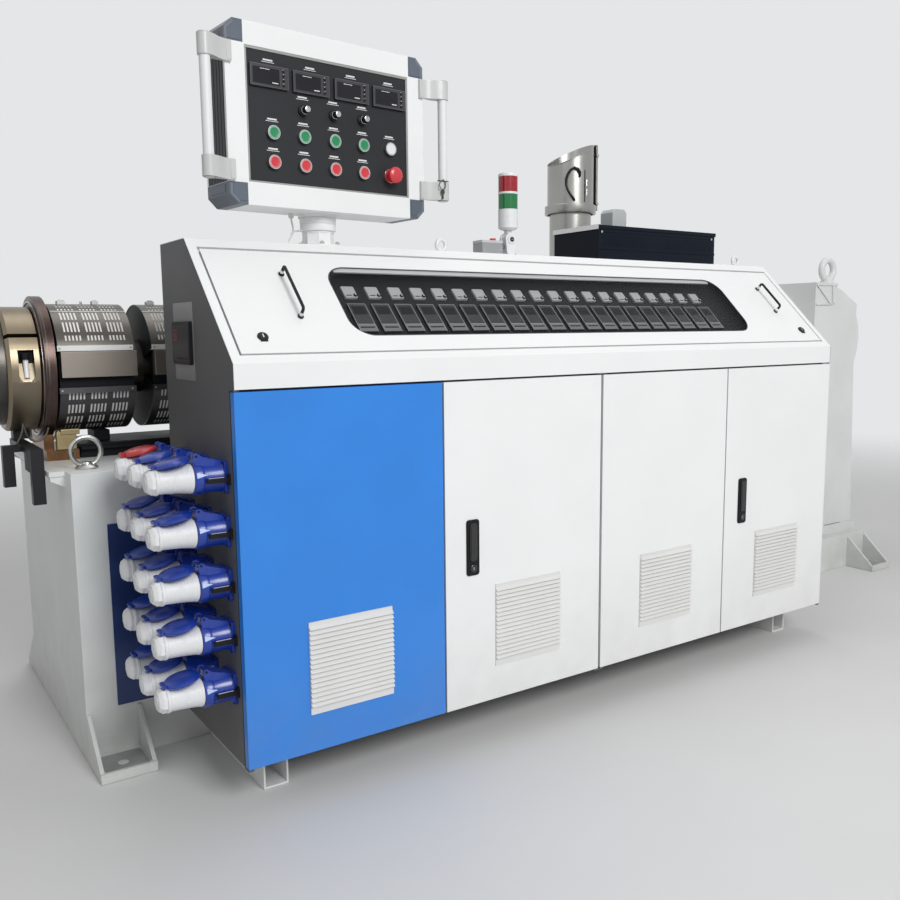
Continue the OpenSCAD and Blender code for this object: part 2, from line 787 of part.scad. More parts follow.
module vented_housing() color("midnightblue") {
    x0 = 1425;
    x1 = 1990;
    y0 = cab_depth + 32;
    block([x0, y0, 1115], [x1, y0 + 220, 1346]);
    block([x0 - 3, y0 - 3, 1340], [x1 + 3, y0 + 223, 1352]);
    block([x0 + 20, y0 + 10, base_high], [1830, y0 + 100, 1115]);
}

module junction_box() color("lightgray")
    slab_y(cab_depth + 92, cab_depth + 152, [[1545, 1352], [1610, 1352], [1610, 1406], [1599, 1417],
        [1556, 1417], [1545, 1406]]);

module door(i) {
    x0 = door_x0[i];
    x1 = door_x1[i];
    pin_x = hinge_right[i] ? x1 - pin_inset : x0 + pin_inset;
    difference() {
        block([x0, 0, door_low], [x1, door_edge, door_top]);
        block([x0 + sheet, sheet, door_low + sheet], [x1 - sheet, door_edge + cut, door_top - sheet]);
        translate([pin_x, pin_inset, door_low - cut])
            cylinder(d = pin_d + 2 * fit, h = door_top - door_low + 2 * cut);
        if (hinge_right[i]) translate([x0 + lock_left, -cut, door_low + lock_low])
            cube([lock_w - 6, sheet + 2 * cut, lock_h - 6]);
    }
}

// Louvred panel whose slats are one sawtooth outline
module vent(i) {
    x0 = door_x0[i] + vent_left;
    z0 = door_low + vent_low;
    base = 3;
    rim = 8;
    step = (vent_size - 3 * rim) / vent_slats;
    slab_x(x0, x0 + vent_size, concat([[0, z0], [0, z0 + vent_size], [-base, z0 + vent_size]],
        [for (k = [vent_slats - 1 : -1 : 0], p = [0, 1, 2])
            let (z = z0 + 2 * rim + k * step)
            p == 0 ? [-base, z + step * 0.95] : p == 1 ? [-vent_proud, z + step * 0.3]
                : [-base, z + step * 0.05]],
        [[-base, z0]]));
}

module lock(i) {
    x = door_x0[i] + lock_left - 3;
    z = door_low + lock_low - 3;
    block([x, -3, z], [x + lock_w, 0, z + lock_h]);
    block([x + 3, 0, z + 3], [x + lock_w - 3, 16, z + lock_h - 3]);
    block([x + 8, -6, z + 34], [x + lock_w - 8, -3, z + lock_h - 8]);
    translate([x + lock_w / 2, -3, z + 18]) rotate([90, 0, 0]) cylinder(d = 18, h = 3);
}

module door_1() color("dodgerblue") door(0);
module door_2() color("white") door(1);
module door_3() color("white") door(2);
module door_4() color("white") door(3);
module vent_1() color("white") vent(0);
module vent_2() color("white") vent(1);
module vent_3() color("white") vent(2);
module vent_4() color("white") vent(3);
module lock_2() color("black") lock(1);
module lock_4() color("black") lock(3);

module console_cover() color("white") on_slope() difference() {
    block([cover_x0, cover_s0, -door_edge], [cover_x1, cover_s1, 0]);
    block([cover_x0 + sheet, cover_s0 + sheet, -door_edge - cut],
        [cover_x1 - sheet, cover_s1 - sheet, -sheet]);
    translate([window_left, window_low, -sheet - cut]) linear_extrude(sheet + 2 * cut)
        rounded(window_len, window_h, window_r);
    translate([0, cover_s1 - pin_inset, -pin_inset]) rotate([0, 90, 0])
        cylinder(d = pin_d + 2 * fit, h = cab_len);
}

module console_window() color("dimgray", 0.5) on_slope()
    translate([window_left - 14, window_low - 14, -sheet - pane]) linear_extrude(pane)
        rounded(window_len + 28, window_h + 28, window_r + 14);

// Bail handles and round locks of the console cover: place, lower end and length
window_end = window_left + window_len;
handle_at = [[193, 125, 167], [window_end + 0.6416 * (cover_x1 - window_end), 156, 136]];
cover_lock_x = [87, cover_x1 - 58];
bail_off = 20;

module cover_handles() color("black") on_slope() {
    for (h = handle_at) translate([h[0], h[1], 0]) {
        for (s = [8, h[2] - 8]) translate([0, s, 0]) cylinder(d = 14, h = 4);
        for (s = [8, h[2] - 8]) translate([0, s, 0]) cylinder(d = 8, h = bail_off);
        translate([0, 4, bail_off]) rotate([-90, 0, 0]) cylinder(d = 8, h = h[2] - 8);
    }
    for (x = cover_lock_x) translate([x, 73, 0]) cylinder(d = 24, h = 5);
}

placed() cabinet_skids();
placed() cabinet_floor();
placed() side_panels();
placed() back_panel();
placed() top_panel();
placed() front_frame();
placed() console_rim();
placed() instrument_plate();
placed() temperature_controllers();
placed() current_switches();
placed() side_meter();
placed() sockets();
placed() socket_lids();
placed() red_lid();
placed() socket_levers();
placed() plugs();
placed() cabinet_eyes();
placed() machine_eyes();
placed() tower_base();
placed() control_post();
placed() base_frame();
placed() base_feet();
placed() blue_plate();
placed() barrel_support();
placed() barrel();
placed() heater_covers();
placed() terminal_covers();
placed() die_clamp();
placed() die_adapter();
placed() clamp_bracket();
placed() feed_section();
placed() hopper();
placed() gearbox_snout();
placed() gearbox_case();
placed() vented_housing();
placed() junction_box();
placed() door_1();
placed() vent_1();
placed() door_2();
placed() vent_2();
placed() lock_2();
placed() door_3();
placed() vent_3();
placed() door_4();
placed() vent_4();
placed() lock_4();
placed() console_cover();
placed() console_window();
placed() cover_handles();
placed() tower_light();
placed() tower_lenses();
placed() box_shell();
placed() box_corners();
placed() control_face();
placed() box_handles();
placed() box_meters();
placed() panel_controls();
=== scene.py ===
import json
import math
import bpy
import bmesh
from mathutils import Matrix, Vector


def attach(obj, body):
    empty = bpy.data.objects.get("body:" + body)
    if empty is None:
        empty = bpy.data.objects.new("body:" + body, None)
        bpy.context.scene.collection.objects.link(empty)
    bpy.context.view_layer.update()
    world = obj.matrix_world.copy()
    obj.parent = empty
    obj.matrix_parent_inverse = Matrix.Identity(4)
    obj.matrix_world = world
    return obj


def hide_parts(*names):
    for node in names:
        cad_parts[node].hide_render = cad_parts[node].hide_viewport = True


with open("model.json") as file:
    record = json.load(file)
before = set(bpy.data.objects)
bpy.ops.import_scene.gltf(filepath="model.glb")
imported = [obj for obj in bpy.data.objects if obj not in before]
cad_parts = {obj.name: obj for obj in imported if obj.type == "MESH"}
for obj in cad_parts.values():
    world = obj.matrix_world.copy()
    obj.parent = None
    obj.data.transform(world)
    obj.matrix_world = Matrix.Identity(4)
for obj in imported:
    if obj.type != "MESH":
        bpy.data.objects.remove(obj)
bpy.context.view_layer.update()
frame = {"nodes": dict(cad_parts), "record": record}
nodes = frame["nodes"]
scene = bpy.context.scene

# Places are written in millimetres from the cabinet's lower left front corner at floor level,
# as in the part's source, and shifted to the part's own origin at the end.
MID_X, MID_Y = 1326.5, 621.0
TO_METRES = Matrix.Scale(0.001, 4) @ Matrix.Translation((-MID_X, -MID_Y, 0))
HERE = Matrix.Identity(4)

CAB_TOP, SLOPE_LOW = 1223.0, 955.0
AXIS_Y, AXIS_H = 810.0, 930.0
BOX_YAW, POST_X, POST_Y, FACE_Z, FACE_FORWARD = 4.6, 366.0, 351.0, 1500.0, 81.0
TOWER_X, TOWER_Y, TOWER_JOINT = 961, 350, 48
DOORS, ZONES, CONTROLLERS = 4, 7, 20
EDGE_ANGLE = 35.0


def spin(x=0, y=0, z=0):
    """Turn in degrees about X, then Y, then Z."""
    return (Matrix.Rotation(math.radians(z), 4, "Z") @ Matrix.Rotation(math.radians(y), 4, "Y")
            @ Matrix.Rotation(math.radians(x), 4, "X"))


def move(x, y, z):
    return Matrix.Translation((x, y, z))


def mirror(x=1, y=1, z=1):
    return Matrix.Diagonal((x, y, z, 1))


def polar(r, degrees, x=0.0, y=0.0):
    """Point on a circle round (x, y)."""
    return x + r * math.cos(math.radians(degrees)), y + r * math.sin(math.radians(degrees))


# X along the cabinet, Y up the slope, Z out of it
SLOPE = move(0, 0, SLOPE_LOW) @ spin(x=45)
# X to the right of the control box, -Y out of its face, Z up, at the middle of its face
ON_BOX = move(POST_X, POST_Y, FACE_Z) @ spin(z=BOX_YAW) @ move(0, -FACE_FORWARD, 0)
# Turns an outline in X and Y into one in X and Z, extruded along Y
STAND = Matrix(((1, 0, 0, 0), (0, 0, 1, 0), (0, 1, 0, 0), (0, 0, 0, 1)))
# Turns an outline in X and Y into one in Y and Z, extruded along X
ALONG_X = Matrix(((0, 0, 1, 0), (1, 0, 0, 0), (0, 1, 0, 0), (0, 0, 0, 1)))
# Turns Z into -Y, for round parts that stand out of an upright face
OUT = spin(x=90)


def on_axis(x):
    """Z along the barrel to the right, X down, Y to the back."""
    return move(x, AXIS_Y, AXIS_H) @ spin(y=90)


# ---------------------------------------------------------------- materials

def feed(tree, node, inputs):
    """Sets inputs by name or number, to a constant or to another node's output."""
    for key, value in inputs.items():
        if isinstance(value, bpy.types.NodeSocket):
            tree.links.new(value, node.inputs[key])
        else:
            node.inputs[key].default_value = value


def add_node(tree, kind, inputs=None, **values):
    node = tree.nodes.new("ShaderNode" + kind)
    for key, value in values.items():
        setattr(node, key, value)
    feed(tree, node, inputs or {})
    return node


def mix_colours(tree, share, first, second):
    return add_node(tree, "Mix", {0: share, 6: first, 7: second}, data_type="RGBA").outputs[2]


def new_material(name):
    m = bpy.data.materials.new(name)
    m.use_nodes = True
    tree = m.node_tree
    return m, tree, tree.nodes["Principled BSDF"], add_node(tree, "TexCoord").outputs["Object"]


def material(name, color, rough=0.5, metal=0.0, vary=0.05, vary_scale=5.0, rough_vary=0.06,
             bump=(0.0, 600), stretch=None, dirt=0.0, spec=0.5, coat=0.0, alpha=1.0, glow=0.0,
             tint=(1, 1, 1)):
    """A finish from noise: colour that varies a little, roughness and fine bump, and floor dust.

    bump is its strength and scale, and dust fades out at the height DUST_TOP in metres."""
    m, tree, shader, place = new_material(name)
    wide = add_node(tree, "TexNoise", {"Vector": place, "Scale": vary_scale, "Detail": 5.0})
    spread = add_node(tree, "MapRange", {"Value": wide.outputs["Fac"], "From Min": 0.35,
                                         "From Max": 0.65})
    tone = mix_colours(tree, spread.outputs["Result"],
                       (*(c * (1 - vary) * t for c, t in zip(color, tint)), 1),
                       (*(min(1.0, c * (1 + vary)) for c in color), 1))
    along = place
    if stretch:
        along = add_node(tree, "Mapping", {"Vector": place, "Scale": stretch}).outputs["Vector"]
    fine = add_node(tree, "TexNoise", {"Vector": along, "Scale": bump[1], "Detail": 3.0})
    sheen = add_node(tree, "MapRange", {
        "Value": (fine if stretch else wide).outputs["Fac"], "From Min": 0.3, "From Max": 0.7,
        "To Min": max(0.02, rough - rough_vary), "To Max": min(1.0, rough + rough_vary)})
    if bump[0]:
        relief = add_node(tree, "Bump", {"Height": fine.outputs["Fac"], "Strength": bump[0],
                                         "Distance": 0.001})
        feed(tree, shader, {"Normal": relief.outputs["Normal"]})
    if dirt:
        height = add_node(tree, "SeparateXYZ", {"Vector": place}).outputs["Z"]
        fade = add_node(tree, "MapRange", {"Value": height, "From Min": 0.0,
                                           "From Max": DUST_TOP, "To Min": dirt, "To Max": 0.0})
        spots = add_node(tree, "TexNoise", {"Vector": place, "Scale": 14.0, "Detail": 8.0})
        amount = add_node(tree, "Math", {0: fade.outputs["Result"], 1: spots.outputs["Fac"]},
                          operation="MULTIPLY")
        tone = mix_colours(tree, amount.outputs["Value"], tone, (0.30, 0.27, 0.23, 1))
    feed(tree, shader, {
        "Base Color": tone, "Roughness": sheen.outputs["Result"], "Metallic": metal,
        "Specular IOR Level": spec, "IOR": 1.5, "Coat Weight": coat, "Coat Roughness": 0.12,
        "Alpha": alpha})
    if glow:
        feed(tree, shader, {"Emission Color": (*color, 1), "Emission Strength": glow})
    return m


DUST_TOP = 0.42
BRUSHED = (30, 900, 900)

WHITE = material("white_powder_coat", (0.85, 0.86, 0.86), 0.36, vary=0.012, bump=(0.05, 900),
                 dirt=0.35)
BLUE = material("blue_powder_coat", (0.026, 0.225, 0.72), 0.36, vary=0.03, bump=(0.05, 900),
                dirt=0.25)
# Side and back panels: light paint given a dark grey that is painted shade, with floor dust
SIDE_PAINTED_SHADE = material("grey_coat_painted_shade", (0.118, 0.118, 0.121), 0.48, bump=(0.05, 900), dirt=0.3,
                spec=0.15)
SIDE_PLATE = material("side_plate_coat", (0.24, 0.24, 0.245), 0.32, bump=(0.05, 900))
MACHINE = material("machine_enamel", (0.72, 0.745, 0.735), 0.42, vary=0.035, bump=(0.10, 260),
                   dirt=0.55)
# Dark grey on the floor of the foot brackets: painted shade, with a random tone
FOOT_FLOOR_SHADE = material("foot_floor_painted_shade", (0.30, 0.31, 0.31), 0.6, vary=0.14, vary_scale=18,
                     bump=(0.15, 200))
INNER = material("inner_sheet", (0.50, 0.51, 0.52), 0.45, metal=0.6, vary=0.08)
NAVY = material("navy_enamel", (0.008, 0.030, 0.14), 0.38, vary=0.08, bump=(0.1, 260))
DARK_BLUE = material("dark_blue_enamel", (0.006, 0.010, 0.018), 0.42, vary=0.15, bump=(0.1, 300),
                     spec=0.1)
BLACK_ENAMEL = material("black_enamel", (0.014, 0.015, 0.018), 0.50, vary=0.15, bump=(0.08, 300),
                        spec=0.12)

BLACK = material("black_plastic", (0.012, 0.012, 0.014), 0.45, vary=0.15, bump=(0.12, 1600),
                 spec=0.18)
BLACK_GLOSS = material("black_gloss", (0.012, 0.012, 0.014), 0.14, vary=0.1, coat=0.4)
WHITE_PLASTIC = material("white_plastic", (0.78, 0.79, 0.80), 0.42, vary=0.02, bump=(0.06, 1200))
VENT_PLASTIC = material("vent_plastic", (0.72, 0.72, 0.71), 0.45, vary=0.02, bump=(0.06, 1200))
BLUE_PLASTIC = material("blue_plastic", (0.010, 0.042, 0.33), 0.30, vary=0.06, bump=(0.04, 1400),
                        coat=0.25)
# Pale blue arrow on the socket collar: painted highlight
PALE_BLUE_HIGHLIGHT = material("pale_blue_painted_highlight", (0.50, 0.62, 0.90), 0.45, vary=0.04)
RED_PLASTIC = material("red_plastic", (0.45, 0.015, 0.02), 0.30, vary=0.08, coat=0.2)
GREY_PLASTIC = material("grey_plastic", (0.50, 0.53, 0.53), 0.45, vary=0.04)
LIGHT_GREY = material("light_grey_plastic", (0.55, 0.56, 0.57), 0.42, vary=0.03)
CORNER = material("corner_plastic", (0.100, 0.122, 0.158), 0.38, vary=0.10, bump=(0.08, 900))
# Lighter copy of the corner plastic for the caps' facets: painted highlight
CORNER_FACET_HIGHLIGHT = material("corner_facet_painted_highlight", (0.16, 0.185, 0.22), 0.34, vary=0.08, bump=(0.06, 900))
INFILL = material("dark_infill", (0.026, 0.028, 0.033), 0.42, vary=0.10, bump=(0.08, 900),
                  spec=0.3)
SEAL = material("grey_seal", (0.10, 0.10, 0.105), 0.55, vary=0.08)
CORD_WHITE = material("white_cord", (0.74, 0.74, 0.72), 0.5, vary=0.04)
CERAMIC = material("pale_insulation", (0.82, 0.81, 0.78), 0.75, vary=0.06, bump=(0.2, 400))
GLASS = material("tinted_pane", (0.020, 0.021, 0.023), 0.04, rough_vary=0.01, alpha=0.17,
                 spec=0.22)

PLATE = material("dark_anodised_plate", (0.024, 0.025, 0.028), 0.46, vary=0.08,
                 bump=(0.06, 1800), spec=0.2)
UNIT_FACE = material("controller_face", (0.062, 0.061, 0.066), 0.30, vary=0.10,
                     bump=(0.05, 1500))
UNIT_LINE = material("light_bezel_line", (0.60, 0.60, 0.58), 0.40)
UNIT_STRIP = material("controller_strip", (0.33, 0.34, 0.35), 0.35, vary=0.06)
METER_BODY = material("meter_body", (0.036, 0.035, 0.041), 0.34, vary=0.10, bump=(0.06, 1500))
METER_LINE = material("meter_outline", (0.105, 0.105, 0.115), 0.35, vary=0.06)
DISPLAY = material("meter_window", (0.022, 0.022, 0.026), 0.30, vary=0.1, spec=0.12)
DIGITS = material("red_display", (0.26, 0.045, 0.04), 0.35, vary=0.1, glow=0.08)
MARK = material("plain_marks", (0.72, 0.72, 0.72), 0.5, vary=0.03)
GREEN = material("green_button", (0.012, 0.23, 0.085), 0.30, coat=0.3)
GREEN_LIGHT = material("green_rim", (0.20, 0.56, 0.36), 0.28, coat=0.3)
RED = material("red_button", (0.60, 0.032, 0.045), 0.30, coat=0.3)
RED_LIGHT = material("red_rim", (0.74, 0.28, 0.29), 0.28, coat=0.3)
BUTTON_WHITE = material("white_button", (0.80, 0.80, 0.80), 0.30, vary=0.02, coat=0.3)
LENS_RED = material("red_lens", (0.36, 0.008, 0.02), 0.16, vary=0.06, coat=0.5)
LENS_GREEN = material("green_lens", (0.010, 0.20, 0.055), 0.16, vary=0.06, coat=0.5)

ZINC = material("zinc_plated_steel", (0.50, 0.50, 0.48), 0.32, metal=1.0, vary=0.08,
                vary_scale=40)
CHROME = material("chrome", (0.66, 0.66, 0.66), 0.14, metal=1.0, vary=0.04)
KNOB_GREY = material("knob_metal", (0.55, 0.55, 0.54), 0.25, metal=1.0, vary=0.06)
HANDLE = material("handle_aluminium", (0.66, 0.66, 0.66), 0.34, metal=0.75, vary=0.04,
                  bump=(0.05, 900))
BRACKET = material("grey_bracket", (0.57, 0.575, 0.57), 0.36, vary=0.03, bump=(0.06, 1000),
                   coat=0.15)
# Mid grey of the lip round the box face: painted shade
FACE_LIP_SHADE = material("face_lip_painted_shade", (0.33, 0.33, 0.32), 0.40, metal=0.3, vary=0.04, bump=(0.05, 900))
BLACK_STEEL = material("black_steel", (0.014, 0.014, 0.016), 0.42, vary=0.2, bump=(0.08, 500),
                       spec=0.25)
DARK_STEEL = material("dark_machined_steel", (0.10, 0.093, 0.085), 0.38, metal=0.9, vary=0.25,
                      vary_scale=12, bump=(0.2, 500))
HOT_STEEL = material("purple_tinted_steel", (0.085, 0.056, 0.050), 0.34, metal=0.95, vary=0.3,
                     vary_scale=10, bump=(0.08, 400))
BRONZE = material("bronze_tinted_steel", (0.20, 0.105, 0.055), 0.34, metal=1.0, vary=0.3,
                  vary_scale=14, bump=(0.15, 500))
BRASS = material("dull_brass", (0.40, 0.32, 0.17), 0.42, metal=0.9, vary=0.15, bump=(0.1, 400))
CLAMP = material("heat_tinted_steel", (0.46, 0.39, 0.28), 0.26, metal=1.0, vary=0.18,
                 vary_scale=7, bump=(0.12, 1), stretch=(1200, 40, 40), tint=(1.0, 0.88, 0.70))
CHAMPAGNE = material("clamp_champagne", (0.25, 0.218, 0.168), 0.36, metal=0.95, vary=0.10,
                     bump=(0.05, 1), stretch=(900, 60, 60), tint=(1.0, 0.94, 0.84))
STAINLESS = material("stainless_sheet", (0.36, 0.36, 0.34), 0.30, metal=1.0, vary_scale=6,
                     bump=(0.08, 1), stretch=(700, 700, 12))
COVER = material("stainless_cover", (0.116, 0.108, 0.097), 0.34, metal=0.9, vary=0.06,
                 bump=(0.02, 1), stretch=BRUSHED)
TERMINAL = material("terminal_cover_steel", (0.335, 0.298, 0.258), 0.36, metal=0.8, vary=0.06,
                    vary_scale=4, bump=(0.015, 1), stretch=BRUSHED)
LOWER_SHEET = material("lower_cover_steel", (0.105, 0.102, 0.109), 0.38, metal=0.8, vary=0.08,
                       bump=(0.05, 1), stretch=BRUSHED)
# Near-white on steel edges, laps and a rod: painted highlight
SHEET_HIGHLIGHT = material("sheet_edge_painted_highlight", (0.88, 0.88, 0.87), 0.36, vary=0.03,
                       bump=(0.06, 500))

SLOT_MATERIAL = {
    "white_paint": WHITE, "blue_paint": BLUE, "side_paint": SIDE_PAINTED_SHADE, "machine_paint": MACHINE,
    "inner_zinc": INNER, "black_plastic": BLACK, "dark_plate": PLATE,
    "white_plastic": WHITE_PLASTIC, "blue_plastic": BLUE_PLASTIC, "navy_paint": NAVY,
    "zinc_steel": ZINC, "barrel_steel": DARK_STEEL, "cover_steel": COVER,
    "clamp_steel": CLAMP, "bronze": BRONZE, "black_steel": BLACK_STEEL,
    "hopper_steel": STAINLESS, "dark_blue_paint": DARK_BLUE, "grey_plastic": GREY_PLASTIC,
    "corner_plastic": CORNER, "window_glass": GLASS, "handle_metal": HANDLE,
    "lens_plastic": LENS_RED, "control_metal": CHROME, "red_plastic": RED_PLASTIC,
}
NODE_MATERIAL = {"back_panel": SIDE_PAINTED_SHADE, "control_post": WHITE,
                 **{"vent_%d" % (i + 1): VENT_PLASTIC for i in range(DOORS)}}

# Small rounded edges on the carried-over sheet metal and castings, in millimetres
EDGE = {"side_panels": 0.8, "top_panel": 0.5, "console_rim": 0.6, "console_cover": 1.4,
        "base_frame": 2.5, "base_feet": 1.6, "gearbox_case": 4.0, "gearbox_snout": 3.0,
        "box_shell": 2.5, "box_corners": 3.0, "cabinet_skids": 2.0, "feed_section": 3.0,
        "vented_housing": 2.0, "junction_box": 3.0, "die_clamp": 1.5, "terminal_covers": 1.2,
        "blue_plate": 0.6, "control_post": 1.5,
        **{"door_%d" % (i + 1): 1.4 for i in range(DOORS)}}


def round_edges(obj, width):
    edge = obj.modifiers.new("edge", "BEVEL")
    edge.width, edge.segments = width / 1000, 2
    edge.limit_method, edge.angle_limit = "ANGLE", math.radians(EDGE_ANGLE)
    edge.harden_normals = True


def dress_nodes():
    """Gives each carried-over node its material and its rounded edges."""
    slot_of = {s["node"]: s["material_slot"] for s in frame["record"]["subparts"]}
    for name, obj in nodes.items():
        obj.data.materials.clear()
        obj.data.materials.append(NODE_MATERIAL.get(name) or SLOT_MATERIAL[slot_of[name]])
    for name, width in EDGE.items():
        nodes[name].modifiers.new("weld", "WELD").merge_threshold = 0.00002
        round_edges(nodes[name], width)


# ---------------------------------------------------------------- meshes

def rounded_outline(x0, y0, w, h, r, steps=10):
    """Rounded rectangle, counter-clockwise."""
    return [polar(r, a + 90 * i / steps, cx, cy)
            for cx, cy, a in ((x0 + w - r, y0 + r, -90), (x0 + w - r, y0 + h - r, 0),
                              (x0 + r, y0 + h - r, 90), (x0 + r, y0 + r, 180))
            for i in range(steps + 1)]


class Shape:
    """Collects solids in millimetres and makes one piece of them."""

    def __init__(self):
        self.bm = bmesh.new()

    def vert(self, point, at=HERE):
        return self.bm.verts.new(at @ Vector(point))

    def face(self, verts, mat=0, smooth=True):
        face = self.bm.faces.new(verts)
        face.material_index, face.smooth = mat, smooth

    def add(self, points, faces, mat=0, at=HERE, smooth=False):
        verts = [self.vert(p, at) for p in points]
        for f in faces:
            self.face([verts[i] for i in f], mat, smooth)

    def box(self, low, high, mat=0, at=HERE):
        (x0, y0, z0), (x1, y1, z1) = low, high
        self.prism([(x0, y0), (x1, y0), (x1, y1), (x0, y1)], z0, z1, mat, at)

    def prism(self, outline, z0, z1, mat=0, at=HERE, smooth=False):
        """Outline in X and Y, counter-clockwise, from z0 to z1."""
        n = len(outline)
        sides = [(i, (i + 1) % n, n + (i + 1) % n, n + i) for i in range(n)]
        self.add([(x, y, z) for z in (z0, z1) for x, y in outline],
                 [tuple(reversed(range(n))), tuple(range(n, 2 * n))] + sides, mat, at, smooth)

    def pad(self, rounded, z0, z1, mat=0, at=HERE):
        """Prism on a rounded rectangle."""
        self.prism(rounded_outline(*rounded), z0, z1, mat, at)

    def border(self, corners, widths, z0, z1, mat=0, at=HERE):
        """Four bars inside a rectangle: widths are left, bottom, right and top."""
        (x0, y0, x1, y1), (left, bottom, right, top) = corners, widths
        for a, b in (((x0, y1 - top), (x1, y1)), ((x0, y0), (x1, y0 + bottom)),
                     ((x0, y0 + bottom), (x0 + left, y1 - top)),
                     ((x1 - right, y0 + bottom), (x1, y1 - top))):
            self.box((*a, z0), (*b, z1), mat, at)

    def lathe(self, profile, mat=0, at=HERE, segments=48, closed=False):
        """Profile of (radius, height) turned about Z."""
        rings = [[self.vert((*polar(r, 360 * i / segments), h), at)
                  for i in range(segments if r else 1)] for r, h in profile]
        for low, high in zip(rings, rings[1:] + (rings[:1] if closed else [])):
            for i in range(segments if len(low) + len(high) > 2 else 0):
                j = (i + 1) % segments
                corners = [low[i % len(low)], low[j % len(low)], high[j % len(high)],
                           high[i % len(high)]]
                self.face(list(dict.fromkeys(corners)), mat)

    def cylinder(self, r, z0, z1, mat=0, at=HERE, segments=32, edge=0.0):
        wall = [(r, z0), (r, z1)]
        if edge:
            wall = [(r - edge, z0), (r, z0 + edge), (r, z1 - edge), (r - edge, z1)]
        self.lathe([(0, z0), *wall, (0, z1)], mat, at, segments)

    def tube(self, path, r, mat=0, at=HERE, segments=12, closed=False):
        """A round bar along points."""
        pts = [at @ Vector(p) for p in path]
        n, side, rings = len(pts), None, []
        for i, p in enumerate(pts):
            before = pts[(i - 1) % n] if closed or i > 0 else p
            after = pts[(i + 1) % n] if closed or i < n - 1 else p
            d = (after - before).normalized()
            side = side or d.orthogonal().normalized()
            side = (side - d * side.dot(d)).normalized()
            up = d.cross(side)
            turns = [polar(r, 360 * k / segments) for k in range(segments)]
            rings.append([self.vert(p + side * c + up * s) for c, s in turns])
        for low, high in zip(rings, rings[1:] + (rings[:1] if closed else [])):
            for k in range(segments):
                j = (k + 1) % segments
                self.face([low[k], low[j], high[j], high[k]], mat)
        if not closed:
            self.face(rings[0][::-1], mat, False)
            self.face(rings[-1], mat, False)

    def ring(self, r, height, thick, at, step, segments):
        """Upright round eye in the XZ plane with its middle at a height."""
        path = [polar(r, a, 0, height) for a in range(0, 360, step)]
        self.tube([(x, 0, z) for x, z in path], thick, 0, at, segments, closed=True)

    def bolt(self, at, across, tall, mat=0):
        """Hexagon head with its washer and the end of the thread."""
        self.cylinder(across * 0.68, 0, tall * 0.2, mat, at, 20)
        corner = across / 2 / math.cos(math.radians(30))
        self.prism([polar(corner, 60 * k) for k in range(6)], tall * 0.2, tall, mat, at)
        self.cylinder(across * 0.28, tall, tall * 1.35, mat, at, 14)

    def make(self, name, slot, finishes, body="machine", bevel=0.0, replaces=(),
             sharp=EDGE_ANGLE):
        bm = self.bm
        bmesh.ops.recalc_face_normals(bm, faces=bm.faces)
        bm.normal_update()
        for e in bm.edges:
            e.smooth = not (len(e.link_faces) == 2
                            and e.calc_face_angle(0) > math.radians(sharp))
        bm.transform(TO_METRES)
        mesh = bpy.data.meshes.new(name)
        bm.to_mesh(mesh)
        bm.free()
        for f in finishes:
            mesh.materials.append(f)
        obj = bpy.data.objects.new(name, mesh)
        scene.collection.objects.link(obj)
        if bevel:
            round_edges(obj, bevel)
        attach(obj, body)
        if replaces:
            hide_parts(*replaces)
        return obj


# ---------------------------------------------------------------- camera, light and floor

def add_camera():
    az, pitch, roll = math.radians(34.05), math.radians(-7.555), math.radians(-0.578)
    ahead = Vector((math.sin(az) * math.cos(pitch), math.cos(az) * math.cos(pitch),
                    math.sin(pitch)))
    right = Vector((math.cos(az), -math.sin(az), 0))
    up = right.cross(ahead)
    right, up = (right * math.cos(roll) + up * math.sin(roll),
                 up * math.cos(roll) - right * math.sin(roll))
    data = bpy.data.cameras.new("camera")
    data.lens, data.sensor_width = 35.852, 36.0
    data.clip_start, data.clip_end = 0.05, 200
    cam = bpy.data.objects.new("camera", data)
    turn = Matrix((right, up, -ahead)).transposed().to_4x4()
    cam.matrix_world = Matrix.Translation(TO_METRES @ Vector((-642, -1716, 1015))) @ turn
    scene.collection.objects.link(cam)
    scene.camera = cam


def add_lamp(name, place, aim, size, power):
    data = bpy.data.lights.new(name, "AREA")
    data.shape, data.size, data.energy = "DISK", size, power
    lamp = bpy.data.objects.new(name, data)
    lamp.location = place
    lamp.rotation_euler = (Vector(aim) - Vector(place)).to_track_quat("-Z", "Y").to_euler()
    scene.collection.objects.link(lamp)


def add_floor():
    """Pale floor that fades into the background a few metres away."""
    m, tree, shader, place = new_material("pale_floor")
    noise = add_node(tree, "TexNoise", {"Vector": place, "Scale": 3.0})
    tone = mix_colours(tree, noise.outputs["Fac"], (0.66, 0.66, 0.655, 1), (0.70, 0.70, 0.695, 1))
    far = add_node(tree, "VectorMath", {0: place}, operation="LENGTH")
    fade = add_node(tree, "MapRange", {"Value": far.outputs["Value"], "From Min": 2.2,
                                       "From Max": 7.0, "To Min": 1.0, "To Max": 0.0},
                    interpolation_type="SMOOTHSTEP")
    feed(tree, shader, {"Base Color": tone, "Roughness": 0.65, "Alpha": fade.outputs["Result"]})
    mesh = bpy.data.meshes.new("floor")
    s = 40.0
    mesh.from_pydata([(-s, -s, 0), (s, -s, 0), (s, s, 0), (-s, s, 0)], [], [(0, 1, 2, 3)])
    mesh.materials.append(m)
    floor = bpy.data.objects.new("floor", mesh)
    floor.location = (0, 0, -0.0005)
    scene.collection.objects.link(floor)


